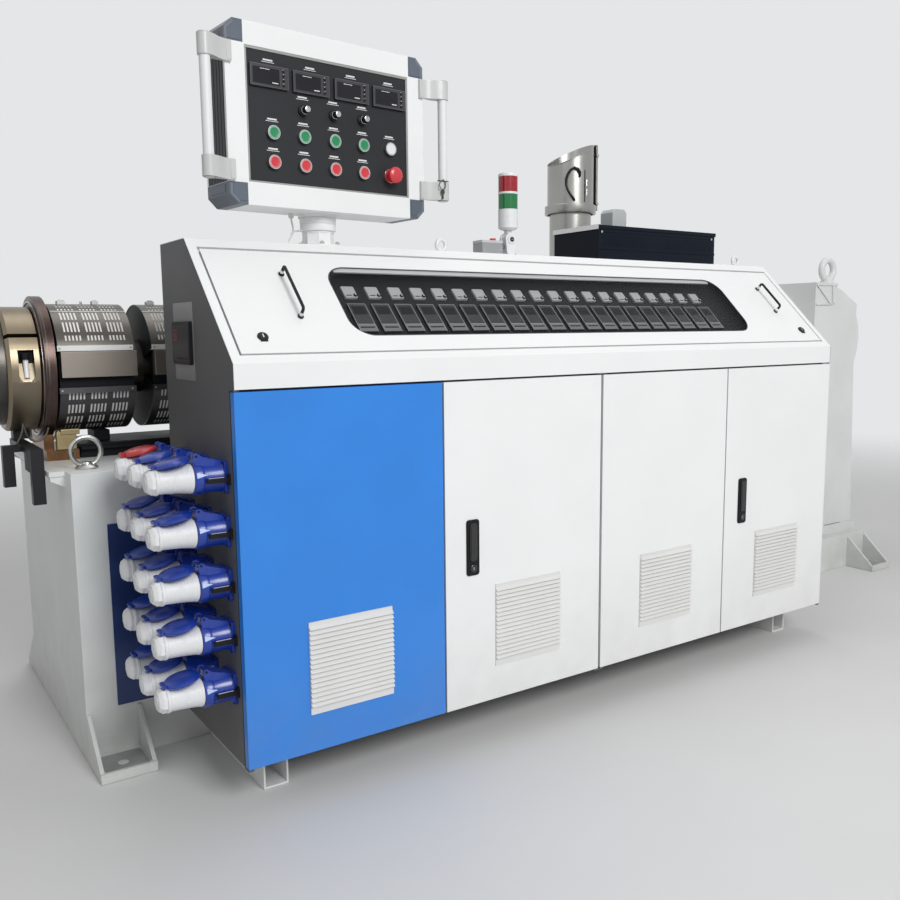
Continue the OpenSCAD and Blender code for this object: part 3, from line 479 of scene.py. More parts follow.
def add_world():
    scene.view_settings.view_transform = "Standard"
    scene.world = bpy.data.worlds.new("studio")
    scene.world.use_nodes = True
    tree = scene.world.node_tree
    way = add_node(tree, "TexCoord").outputs["Generated"]
    ramp = add_node(tree, "ValToRGB",
                    {"Fac": add_node(tree, "SeparateXYZ", {"Vector": way}).outputs["Z"]})
    low, high = ramp.color_ramp.elements
    low.position, low.color = 0.0, (0.50, 0.51, 0.53, 1)
    high.position, high.color = 0.75, (1.0, 1.0, 1.0, 1)
    # The camera, metal and glass see the same pale background; the rest is soft light
    path = add_node(tree, "LightPath")
    seen = path.outputs["Is Camera Ray"]
    for ray in ("Is Glossy Ray", "Is Transmission Ray"):
        seen = add_node(tree, "Math", {0: seen, 1: path.outputs[ray]},
                        operation="MAXIMUM").outputs["Value"]
    strength = add_node(tree, "Mix", {0: seen, 2: 0.42, 3: 1.0}, data_type="FLOAT")
    feed(tree, tree.nodes["Background"], {
        "Color": mix_colours(tree, seen, ramp.outputs["Color"], (0.78, 0.79, 0.80, 1)),
        "Strength": strength.outputs[0]})


# ---------------------------------------------------------------- console and doors

def console():
    first, pitch, low, wide, tall = 341.0, 63.4, 110.0, 47.0, 91.0
    s = Shape()
    for i in range(CONTROLLERS):
        at = SLOPE @ move(first + i * pitch, low, 0)
        s.box((0, 0, -32), (wide, tall, -24.4), 0, at)
        s.box((1.3, 24, -24.4), (wide - 1.3, tall - 1.3, -23.6), 1, at)
        s.box((6, 56, -23.6), (wide - 6, 82, -23.3), 4, at)
        s.box((1.3, 1, -24.4), (wide - 1.3, 22, -23.5), 3, at)
        s.box((5, 11.5, -23.5), (wide - 5, 15.5, -23.2), 0, at)
        for a, b in (((0, tall - 1.3), (wide, tall)), ((0, 0), (1.3, tall - 1.3)),
                     ((wide - 1.3, 0), (wide, tall - 1.3)), ((1.3, 22), (wide - 1.3, 24))):
            s.box((*a, -24.4), (*b, -23), 2, at)
    s.make("controllers", "black_plastic", [BLACK, UNIT_FACE, UNIT_LINE, UNIT_STRIP, DISPLAY],
           replaces=["temperature_controllers"])
    s = Shape()
    for i in range(CONTROLLERS):
        at = SLOPE @ move(first + i * pitch + 6.5, low + tall + 24, 0)
        s.pad((0, 0, 34, 38, 3, 3), -32, -26.5, 0, at)
        s.pad((1, 1, 32, 36, 2.5, 3), -26.5, -26, 0, at)
        s.box((5, 6, -26), (19, 8.6, -25.6), 1, at)
        s.cylinder(4.8, -26, -22.5, 1, at @ move(28, 7, 0), 18, edge=0.5)
        s.cylinder(2.6, -22.5, -21.2, 0, at @ move(28, 7, 0), 14, edge=0.4)
    s.make("switches", "white_plastic", [WHITE_PLASTIC, BLACK], replaces=["current_switches"])

    # Dark seal round the pane and the pale stiffener along its upper edge
    s = Shape()
    outer = rounded_outline(305.4, 73.4, 1374.2, 227.2, 54.6)
    inner = rounded_outline(307.4, 75.4, 1370.2, 223.2, 52.6)
    n = len(outer)
    faces = []
    for i in range(n):
        j = (i + 1) % n
        faces += [(i, j, n + j, n + i), (2 * n + i, 3 * n + i, 3 * n + j, 2 * n + j),
                  (i, 2 * n + i, 2 * n + j, j), (n + i, n + j, 3 * n + j, 3 * n + i)]
    s.add([(x, y, z) for z in (-1.5, -0.5) for x, y in outer + inner], faces, 0, SLOPE)
    s.make("window_seal", "black_plastic", [SEAL], "console_cover")
    s = Shape()
    s.box((334, 289, -9), (1650, 300.5, -5), 0, SLOPE)
    s.box((334, 298.5, -5), (1650, 300.5, -3.6), 0, SLOPE)
    s.make("window_stiffener", "white_paint", [WHITE_PLASTIC], "console_cover", bevel=0.5)

    # Two bail handles on their feet and two round locks
    s = Shape()
    rise, bend = 25, 6
    for x, start, length in ((193, 125, 167), (1862, 150, 136)):
        a, b = start + 8, start + length - 24
        low_arc = [polar(bend, 180 - 18 * i, a + bend, 1 + rise - bend) for i in range(6)]
        path = [(a, 1)] + low_arc + [(a + b - y, z) for y, z in reversed(low_arc)] + [(b, 1)]
        s.tube([(x, y, z) for y, z in path], 3.6, 0, SLOPE, 16)
        for y in (a, b):
            s.cylinder(7, 0, 4, 0, SLOPE @ move(x, y, 0), 24, edge=1)
            s.cylinder(4.4, 4, 13, 1, SLOPE @ move(x, y, 0), 18, edge=0.8)
    for x in (87, 1915):
        at = SLOPE @ move(x, 73, 0)
        s.lathe([(0, 0), (12, 0), (12, 2.5), (10.5, 4.4), (7, 5), (6.4, 4.2), (0, 4.2)], 0, at, 32)
        s.box((-1.4, -5, 4.2), (1.4, 5, 5.0), 1, at)
        s.box((-8, -13, 0), (8, -9, 2.2), 0, at)
    s.make("cover_fittings", "black_steel", [BLACK_STEEL, CHROME], "console_cover",
           replaces=["cover_handles"])


def door_fittings():
    for i, x in ((2, 561.5), (4, 1561.5)):
        at = move(x, 0, 430)
        s = Shape()
        s.pad((0, 0, 37, 137, 7, 5), -3, 0, 0, at @ STAND)
        s.pad((2, 2, 33, 133, 5, 5), -3.8, -3, 0, at @ STAND)
        s.box((3, 0, 3), (34, 16, 134), 0, at)
        s.pad((8, 36, 21, 93, 8, 6), -6.4, -3.8, 1, at @ STAND)
        s.pad((11.5, 41, 14, 83, 5, 6), -7.4, -6.4, 1, at @ STAND)
        turn = at @ move(18.5, -3.8, 18) @ OUT
        s.lathe([(0, 0), (9.5, 0), (9.5, 1.8), (8, 2.8), (5.6, 2.8), (5.2, 2.0), (0, 2.0)], 1,
                turn, 28)
        s.box((-0.9, -3.6, 2.0), (0.9, 3.6, 2.4), 2, turn)
        s.make("door_%d_lock" % i, "black_plastic", [BLACK, BLACK_GLOSS, CHROME], "door_%d" % i,
               bevel=0.4, replaces=["lock_%d" % i])


# ---------------------------------------------------------------- left end

def sockets():
    body, marks, plug = Shape(), Shape(), Shape()
    blue, red = Shape(), Shape()
    for row, col in ((row, col) for row in range(5) for col in range(3)):
        at = move(0, 82 + col * 113, 265 + row * 114) @ spin(y=-90)
        body.pad((-34, -34, 68, 68, 6, 4), 0, 6.4, 0, at)
        body.pad((-33, -33, 66, 66, 5, 4), 6.4, 8, 0, at)
        body.lathe([(31, 7.8), (33.4, 8), (32.2, 12), (32.0, 48), (32.8, 49), (32.8, 50.2),
                    (34.2, 51.5), (34.2, 65.5), (33, 67.6), (31, 68), (30.6, 66.4), (20, 66.4)],
                   0, at, 44)
        for a in (45, 135, 225, 315):
            body.cylinder(3.2, 8, 9.4, 1, at @ spin(z=a) @ move(42, 0, 0), 12, edge=0.4)
        hump = [(20, 8), (33, 8.5), (35, 14), (45, 48), (50, 56), (50.5, 61), (47.5, 65), (20, 65)]
        body.prism(hump, -19, 19, 0, at @ STAND)
        for side in (-21, 15):
            body.prism([(34, 50), (50, 54), (53, 60), (51, 67), (44, 68), (34, 66)], side,
                       side + 6, 0, at @ STAND)
        body.cylinder(2.6, -22.5, 22.5, 1, at @ move(47.5, 0, 61.5) @ spin(x=90), 14)
        # Pale arrow on the collar and pale line on the lever: painted highlights
        marks.add([(4, -34.4, 65), (15, -31.6, 65), (9, -34.0, 43), (4, -32, 65), (15, -29, 65),
                   (9, -31, 43)], [(0, 1, 2), (5, 4, 3), (0, 3, 4, 1), (1, 4, 5, 2), (2, 5, 3, 0)],
                  0, at)
        marks.box((2, -41.2, 12), (2.7, -38.8, 44), 1, at)
        lid = at @ move(33, 0, 107) @ spin(y=-11) @ spin(y=90)
        shell = red if (row, col) == (4, 2) else blue
        shell.lathe([(0, 1.5), (30, 1.5), (33, 0), (36.5, 0.4), (38, 2.4), (37.6, 5), (34.5, 7.6),
                     (28, 9.8), (18, 11.4), (8, 12), (0, 12.1)], 0, lid, 44)
        shell.pad((34, -15, 9, 30, 3, 3), 3.5, 9.5, 0, lid @ spin(y=180) @ move(0, 0, -12.5))
        # Ribbed plug that narrows towards its eight-sided gland nut
        top = at @ move(0, 0, 68.3)
        profile = [(0, 0), (29.4, 0), (30.4, 1.2), (30.4, 5.6), (29.6, 6.8)]
        for k in range(14):
            h = 8 + k * 4.3
            r = 29.4 - 4.2 * (1 - math.exp(-k * 4.3 / 26))
            profile += [(r, h), (r, h + 3.3), (r - 0.35, h + 3.6), (r - 0.35, h + 4.1)]
        profile += [(25.4, 68.6), (27.6, 70), (27.8, 74.6), (26.8, 76), (24.6, 76.4)]
        plug.lathe(profile, 0, top, 40)
        plug.lathe([(26.2, 76), (26.4, 83.5), (25.6, 84.6), (20.8, 91.6), (19.8, 92.4),
                    (0, 92.4)], 0, top @ spin(z=22.5), 8)
        plug.lathe([(12.6, 92.2), (12.4, 93.6), (11.4, 94.2), (9.0, 94.2), (8.4, 93.2),
                    (0, 93.2)], 0, top, 24)
    body.make("socket_bodies", "blue_plastic", [BLUE_PLASTIC, BLACK], bevel=0.7,
              replaces=["sockets"])
    marks.make("socket_painted_highlights", "blue_plastic", [PALE_BLUE_HIGHLIGHT, MARK])
    blue.make("blue_lids", "blue_plastic", [BLUE_PLASTIC], replaces=["socket_lids"])
    red.make("red_lid_shell", "red_plastic", [RED_PLASTIC], replaces=["red_lid"])
    plug.make("plug_caps", "white_plastic", [WHITE_PLASTIC], replaces=["plugs"])


def side_meter():
    s = Shape()
    # X of this frame is the cabinet's Y, Y is up and Z points out of the side
    at = mirror(x=-1) @ ALONG_X
    s.pad((232, 947, 122, 95, 5, 4), 0, 7.4, 0, at)
    s.pad((233.5, 948.5, 119, 92, 4, 4), 7.4, 8.6, 0, at)
    s.pad((240, 955, 106, 79, 3, 4), 8.6, 9, 1, at)
    for x in (318, 334):
        for y0, y1 in ((1000, 1011), (1013, 1024)):
            s.border((x, y0, x + 10, y1), (1.8, 1.6, 1.8, 1.6), 9, 9.2, 2, at)
    for k in range(4):
        s.pad((250 + k * 20, 958, 12, 5, 1.5, 3), 9, 9.6, 0, at)
    s.make("side_instrument", "black_plastic", [BLACK, DISPLAY, DIGITS], replaces=["side_meter"])
    s = Shape()
    s.pad((226, 912, 134, 172, 3, 3), 0, 1.2, 0, at)
    s.make("side_instrument_plate", "side_paint", [SIDE_PLATE])


# ---------------------------------------------------------------- control box

# Middles of the button columns and left edges of the meters, to the right of the face's middle
COLUMNS = (-158, -78, 4, 85, 165)
METERS = (-212, -104, 7, 116)
KNOB_ROW, UPPER_BUTTONS, LOWER_BUTTONS, METER_ROW = 25, -34, -99, 63


def control_cables():
    """The thin cable from under the box, with its branch to the post."""
    top = (294.0, 349.0, 1296.0)
    drop = [(0, 0), (0.4, -8), (1.6, -16), (3.6, -24), (4.4, -32), (3.2, -40), (0.4, -47),
            (-3.6, -53), (-6.6, -59), (-7.8, -65), (-8.2, -70.6)]
    run = [(top[0] + a, top[1], top[2] + c) for a, c in drop]
    lead = [(292.6, 349, 1252.6), (295.5, 349, 1256), (299.5, 349, 1259.0), (304.5, 349, 1260.8),
            (310, 349, 1261.6), (315.5, 349, 1262.0), (321, 349, 1262.4), (330, 349, 1262.6)]
    for name, path in (("box_cable", run), ("box_cable_branch", lead)):
        s = Shape()
        s.tube(path, 2.2)
        piece = s.make(name, "white_plastic", [CORD_WHITE], "control_box")
    s = Shape()
    s.cylinder(6.5, 1295, 1302.5, 0, move(294, 349, 0), 20, edge=0.8)
    s.box((-5, -5, 1291.5), (5, 5, 1295), 0, move(294, 349, 0))
    s.make("cable_fitting", "white_plastic", [CORD_WHITE], "control_box", bevel=0.5)
    s = Shape()
    s.lathe([(2.4, 0), (6, 0), (6, 2.2), (4.4, 3.4), (2.4, 3.4)], 0, move(285.8, 349, CAB_TOP),
            24, closed=True)
    s.make("cable_grommet", "white_plastic", [CORD_WHITE])


def meters():
    s = Shape()
    for u in METERS:
        at = ON_BOX @ move(u, 0, METER_ROW) @ STAND
        s.pad((0, 0, 96, 48, 2.5, 3), -3.4, 3, 0, at)
        s.pad((1.2, 1.2, 93.6, 45.6, 2, 3), -4.4, -3.4, 0, at)
        s.border((0.4, 0.4, 95.6, 47.8), (1, 0.9, 1, 1.2), -4.7, -3.4, 1, at)
        s.pad((6.5, 6, 66, 35, 1.5, 3), -4.9, -4.4, 2, at)
        s.box((24, 37.4, -5.1), (48, 38.6, -4.9), 3, at)
        s.box((54, 9.5, -5.1), (69, 11.6, -4.9), 3, at)
        for k in range(4):
            s.cylinder(3.1, 4.4, 6.4, 4, at @ move(83, 8.5 + 10.2 * k, 0) @ spin(x=180), 18,
                       edge=0.6)
            s.box((81.6, 11.6 + 10.2 * k, -4.7), (84.4, 12.8 + 10.2 * k, -4.4), 3, at)
    s.make("meters", "black_plastic", [METER_BODY, METER_LINE, DISPLAY, MARK, BLACK],
           "control_box", replaces=["box_meters"])


def push_buttons():
    s = Shape()
    lower = COLUMNS[:4]
    for u, v, rim, cap in ([(u, UPPER_BUTTONS, 1, 2) for u in lower]
                           + [(u, LOWER_BUTTONS, 3, 4) for u in lower]
                           + [(COLUMNS[4], UPPER_BUTTONS, 5, 5)]):
        at = ON_BOX @ move(u, 3, v) @ OUT
        s.lathe([(0, 0), (15.8, 0), (16.4, 1.2), (16.4, 8.0), (15.6, 9.6), (13.8, 9.8),
                 (13.4, 9.0), (13.4, 3)], 0, at, 40)
        s.lathe([(13.4, 3), (13.3, 9.6), (12.6, 10.4), (11.2, 10.6)], rim, at, 40)
        s.lathe([(11.2, 10.6), (10.9, 10.2), (10.2, 10.0), (4, 10.0), (0, 10.0)], cap, at, 40)
    for u in COLUMNS[1:4]:
        # Turned knob with a skirt, a bright collar, finger grooves and a pale end
        at = ON_BOX @ move(u, 3, KNOB_ROW) @ OUT
        s.lathe([(0, 0), (12.4, 0), (12.6, 1.4), (11.8, 4.0), (9.0, 5.4), (8.6, 8.6)], 6, at, 36)
        s.lathe([(8.6, 8.6), (9.2, 9.0), (9.2, 11.4), (8.6, 11.8)], 0, at, 36)
        s.lathe([(8.6, 11.8), (8.3, 12.4), (7.9, 23.4), (7.2, 24.6)], 6, at, 36)
        s.lathe([(7.2, 24.6), (6.9, 25.4), (5.6, 25.8), (0, 25.9)], 7, at, 36)
        for j in range(10):
            s.box((7.7, -0.5, 12.8), (8.7, 0.5, 23), 6, at @ spin(z=36 * j))
        s.box((-0.6, 2, 25.7), (0.6, 6.4, 26.1), 6, at)
    # Mushroom stop
    at = ON_BOX @ move(COLUMNS[4], 3, LOWER_BUTTONS) @ OUT
    s.lathe([(0, 0), (16, 0), (16, 4.6), (15, 6), (11.8, 6), (11.6, 19), (17, 20), (19.6, 22.6),
             (20, 26), (19, 29.4), (15.4, 32), (9, 33.4), (0, 33.8)], 4, at, 44)
    s.lathe([(12.4, 0.0), (16.6, 0.0), (16.6, 2.6), (12.4, 2.6)], 0, at, 40, closed=True)
    s.make("push_buttons", "control_metal",
           [CHROME, GREEN_LIGHT, GREEN, RED_LIGHT, RED, BUTTON_WHITE, BLACK, KNOB_GREY],
           "control_box", replaces=["panel_controls"])


def control_box():
    meters()
    push_buttons()

    # Short plain marks over the instruments and buttons
    s = Shape()
    for u, v in ([(u + 48, METER_ROW + 55) for u in METERS]
                 + [(u, KNOB_ROW + 25) for u in COLUMNS[1:4]]
                 + [(u, UPPER_BUTTONS + 25) for u in COLUMNS]
                 + [(u, LOWER_BUTTONS + 25) for u in COLUMNS[:4]]):
        at = ON_BOX @ move(u, 0, v) @ STAND
        s.box((-12, 3.4, 2.7), (12, 7.0, 3), 0, at)
        s.box((-16, 0, 2.7), (16, 1.3, 3), 0, at)
    s.make("panel_marks", "white_plastic", [MARK], "control_box")

    # Lip between the rails and the face, in a mid grey that is painted shade on the inner bevel of
    # the white rails
    s = Shape()
    s.border((-222, -147, 222, 147), (5, 4, 5, 6), 0.8, 3, 0, ON_BOX @ STAND)
    s.make("face_lip_painted_shade", "handle_metal", [FACE_LIP_SHADE], "control_box", bevel=0.8)

    s = Shape()
    for su, sv in ((-1, -1), (-1, 1), (1, -1), (1, 1)):
        at = ON_BOX @ mirror(x=su, z=sv) @ STAND
        s.prism([(225, 150), (270, 150), (270, 177), (249, 198), (225, 198)], 0, 115, 0, at)
        s.prism([(228, 153), (262, 153), (262, 174), (246, 190), (228, 190)], -1.2, 0, 0, at)
        # Chamfer and edge facets in the lighter tone: painted highlight
        s.prism([(262, 153), (268, 151.5), (268, 176), (262, 174)], -0.9, 0, 1, at)
        s.prism([(246, 190), (262, 174), (268, 176), (248.4, 196)], -0.9, 0, 1, at)
        s.box((269.5, 156, 20), (271.2, 172, 95), 0, at)
    s.make("corner_caps", "corner_plastic", [CORNER, CORNER_FACET_HIGHLIGHT], "control_box", bevel=1.6,
           replaces=["box_corners"])

    # Dark ribbed infill of the two sides, and the grips
    infill, grips = Shape(), Shape()
    for side in (ON_BOX @ mirror(x=-1), ON_BOX):
        at = side @ STAND
        infill.box((269.4, -149, 9), (270.5, 149, 107), 0, at)
        for y in (12, 27, 42, 57, 72, 87, 100):
            infill.box((270.5, -147, y), (271.3, 147, y + 5), 0, at)
        for v in (-148, 103):
            arc = [polar(15.4, a, 322, -14) for a in range(-100, 101, 20)]
            line = [(256, -7), (270, -7.4), (280, -9.4), (289, -14), (298, -20), (308, -25.5)]
            back = [(312, -1), (303, 2), (293, 3.6), (282, 2.6), (271, -0.4), (256, -0.4)]
            grips.prism(line + arc + back, v, v + 45, 0, side, smooth=True)
            grips.prism([(256, -8.2), (268, -8.2), (268, -7), (256, -7)], v + 3, v + 42, 0, side)
        at = side @ move(322, -14, 0)
        grips.cylinder(12, -141.5, 141.5, 1, at, 32, edge=1.5)
        for v in (-150.5, 148):
            grips.cylinder(13.4, v, v + 2.5, 0, at, 32, edge=1.5)
    infill.make("box_infill", "corner_plastic", [INFILL], "control_box", bevel=0.3)

    # Key on its ring, hung over the right-hand grip
    s = Shape()
    at = ON_BOX @ move(322, -14, -98)
    s.tube([(*polar(14.6, a), polar(2.4, a)[1]) for a in range(0, 360, 15)], 1.1, 0, at, 10,
           closed=True)
    hang = [(-10, -15.2, 1), (-18, -15.0, -4), (-23, -14.6, -12), (-21, -15.4, -21),
            (-14, -16.6, -25), (-7, -17.4, -20), (-5, -17.6, -11), (-7, -16.4, -3)]
    s.tube(hang, 1.3, 0, at, 10, closed=True)
    s.prism([(-17, -24), (-10, -25), (-8, -29), (-9, -35), (-12, -37), (-12, -49), (-16, -49),
             (-16, -37), (-19, -34), (-19, -28)], -17.9, -16.3, 0, at @ STAND)
    s.make("key_ring", "control_metal", [DARK_STEEL], "control_box", bevel=0.3, sharp=30)
    grips.make("grip_handles", "handle_metal", [BRACKET, WHITE_PLASTIC], "control_box", bevel=0.8,
               replaces=["box_handles"], sharp=28)


def control_post():
    s = Shape()
    at = move(POST_X, POST_Y, CAB_TOP)
    s.cylinder(58, 0, 6, 0, at, 56, edge=1.2)
    r = 36 / math.cos(math.radians(22.5))
    s.prism([polar(r, 22.5 + 45 * k) for k in range(8)], 6, 40, 0, at)
    s.lathe([(0, 34), (38.6, 34), (38.6, 39), (43.6, 39.6), (44, 40.4), (44, 54), (43, 54.6),
             (43, 56.4), (44.6, 57), (44.6, 70.6), (0, 70.6)], 0, at, 56)
    for k in range(6):
        s.bolt(at @ spin(z=15 + 60 * k) @ move(49, 0, 6), 10, 6, 1)
    s.make("post_flange", "handle_metal", [WHITE, ZINC], bevel=0.8, replaces=["control_post"])


# ---------------------------------------------------------------- signal tower

def tower():
    foot = move(TOWER_X, TOWER_Y, CAB_TOP)
    s = Shape()
    s.pad((-20, -20, 40, 40, 5, 4), 0, 6, 0, foot)
    for x in (-15, 15):
        for y in (-15, 15):
            s.cylinder(2.8, 6, 8.2, 1, foot @ move(x, y, 0), 12, edge=0.5)
    cheek = [(-14, 5), (14, 5)] + [polar(19, a, 0, TOWER_JOINT) for a in range(-20, 201, 10)]
    for y0, y1 in ((-15, -8.3), (8.3, 15)):
        s.prism(cheek, y0, y1, 0, foot @ STAND)
    s.box((-13, -8.3, 5), (13, 8.3, 23), 0, foot)
    hub = foot @ move(0, -15, TOWER_JOINT) @ OUT
    s.lathe([(0, -1), (13, -1), (13, 1.6), (11.6, 2.8), (0, 2.8)], 0, hub, 32)
    s.lathe([(0, 2.8), (6.4, 2.8), (6.4, 5.4), (5.2, 6.4), (0, 6.4)], 1, hub, 24)
    s.box((-4.6, -0.8, 6.4), (4.6, 0.8, 6.7), 2, hub)
    s.make("tower_fork", "white_plastic", [WHITE_PLASTIC, BLACK, CHROME], bevel=0.7,
           replaces=["tower_base"])

    # Small switch box beside the tower
    s = Shape()
    at = move(856, 330, CAB_TOP)
    s.box((0, 0, 0), (70, 45, 35), 0, at)
    s.box((-0.6, -0.6, 35), (70.6, 45.6, 42), 1, at)
    s.cylinder(11, 42, 44, 2, at @ move(52, 22, 0), 28, edge=0.6)
    s.lathe([(0, 44), (9, 44), (9, 48), (7.6, 49.6), (0, 50)], 3, at @ move(52, 22, 0), 28)
    for x in (6, 64):
        s.cylinder(2.2, -0.6, 0.4, 2, at @ move(x, 0, 17) @ OUT, 12)
    s.make("start_station", "white_plastic", [UNIT_STRIP, LIGHT_GREY, CHROME, RED], bevel=1.0)

    s = Shape()
    at = foot @ move(0, 0, TOWER_JOINT)
    s.lathe([(0, 26), (17, 26), (25, 29.6), (28, 32.4), (28, 83.5), (0, 83.5)], 0, at)
    s.cylinder(10, 83, 180, 0, at, 28)
    s.lathe([(10.5, 125.2), (28, 125.2), (28, 130.8), (10.5, 130.8)], 0, at, closed=True)
    s.lathe([(0, 173.4), (28, 173.4), (28, 178.5), (26.6, 181.6), (22, 183.4), (0, 184)], 0, at)
    for z in (44, 62):
        s.lathe([(27.9, z), (28.3, z + 0.5), (28.3, z + 1.5), (27.9, z + 2)], 0, at, closed=True)
    s.prism([(-8, -27), (8, -27), (8, 27), (-8, 27)], -8, 8, 0, at @ STAND)
    s.cylinder(17, -8, 8, 0, at @ spin(x=90), 40, edge=0.8)
    s.make("tower_body", "white_plastic", [WHITE_PLASTIC], "tower_light",
           replaces=["tower_light"])
    # Lenses with fine upright grooves
    grooves = 40
    outline = [polar(r, (i + share) * 360 / grooves) for i in range(grooves)
               for share, r in ((0, 27.2), (0.45, 27.2), (0.55, 26.4), (0.95, 26.4))]
    for k, (z, tall, finish) in enumerate(((84.1, 40.8, LENS_GREEN), (131.1, 41.8, LENS_RED))):
        s = Shape()
        s.prism(outline, z + 2, z + tall - 2, 0, at)
        for low in (z, z + tall - 2):
            s.cylinder(27.4, low, low + 2, 0, at, 48)
        s.make("lens_%d" % (k + 1), "lens_plastic", [finish], "tower_light",
               replaces=["tower_lenses"])


# ---------------------------------------------------------------- barrel

ZONE_START, ZONE_PITCH, ZONE_LEN = -198.0, 228.0, 184.0
SHELL_R, SHEET = 165.0, 1.6
# Rows of slots as angles up from the front, and the slots' places along a zone: three fives
UPPER_ROWS = [(25.5, 30.5), (34, 45), (48, 59), (63, 66.5), (70, 73.5), (77, 80.5)]
LOWER_ROWS = [(-27.5, -21), (-42.5, -32.5), (-57, -46.5), (-70, -61)]
SLOTS = [(20 + g * 53 + c * 8.5, 24.2 + g * 53 + c * 8.5) for g in range(3) for c in range(5)]


def front(r, degrees, z):
    """Point in the on_axis frame; its angle is measured up from the front."""
    y, x = polar(-r, degrees)
    return x, y, z


def perforated(s, at, r_out, r_in, angles, zs, is_hole, mat=0):
    """Sheet bent round Z with slots, between angles measured up from the front."""
    verts = {}

    def vert(layer, i, j):
        if (layer, i, j) not in verts:
            verts[layer, i, j] = s.vert(front((r_in, r_out)[layer], angles[i], zs[j]), at)
        return verts[layer, i, j]

    def solid(i, j):
        return (0 <= i < len(angles) - 1 and 0 <= j < len(zs) - 1
                and not is_hole((angles[i] + angles[i + 1]) / 2, (zs[j] + zs[j + 1]) / 2))

    for i, j in ((i, j) for i in range(len(angles) - 1) for j in range(len(zs) - 1)):
        if not solid(i, j):
            continue
        quads = [((n, i, j), (n, i + 1, j), (n, i + 1, j + 1), (n, i, j + 1)) for n in (0, 1)]
        for next_to, a, b in (((i - 1, j), (i, j), (i, j + 1)),
                              ((i + 1, j), (i + 1, j), (i + 1, j + 1)),
                              ((i, j - 1), (i, j), (i + 1, j)),
                              ((i, j + 1), (i, j + 1), (i + 1, j + 1))):
            if not solid(*next_to):
                quads.append(((0, *a), (0, *b), (1, *b), (1, *a)))
        for q in quads:
            s.face([vert(*k) for k in q], mat)


def slotted_half(s, at, a0, a1, rows):
    """Cover sheet from angle to angle, with the slots of its front rows again at the back."""
    rows = rows + [(math.copysign(180, a0 + a1) - b, math.copysign(180, a0 + a1) - a)
                   for a, b in rows]
    marks = sorted({a0, a1} | {v for r in rows for v in r if a0 < v < a1})
    angles = [marks[0]]
    for v in marks[1:]:
        last = angles[-1]
        n = max(1, math.ceil((v - last) / 6.0))
        angles += [last + (v - last) * (k + 1) / n for k in range(n)]
    perforated(s, at, SHELL_R, SHELL_R - SHEET, angles,
               sorted({0.0, ZONE_LEN} | {v for slot in SLOTS for v in slot}),
               lambda a, z: (any(low < a < high for low, high in rows)
                             and any(low < z < high for low, high in SLOTS)))


def end_plate(s, at, z):
    """Dark plate round the barrel with the cut at the front."""
    outer = [front(163, a, 0)[:2] for a in range(17, 344, 4)]
    inner = [front(70.5, a, 0)[:2] for a in range(343, 16, -6)]
    n, m = len(outer), len(inner)
    k = n + m
    pts = [(x, y, h) for h in (z, z + 1.2) for x, y in outer + inner]
    s.add(pts, [(j, (j + 1) % k, k + (j + 1) % k, k + j) for j in range(k)], 1, at)
    for low in (0, k):
        for j in range(n - 1):
            a, b = (low + k - 1 - min(m - 1, round(g * (m - 1) / (n - 1))) for g in (j, j + 1))
            corners = dict.fromkeys((low + j, low + j + 1, b, a))
            s.add([pts[v] for v in corners], [range(len(corners))], 1, at)


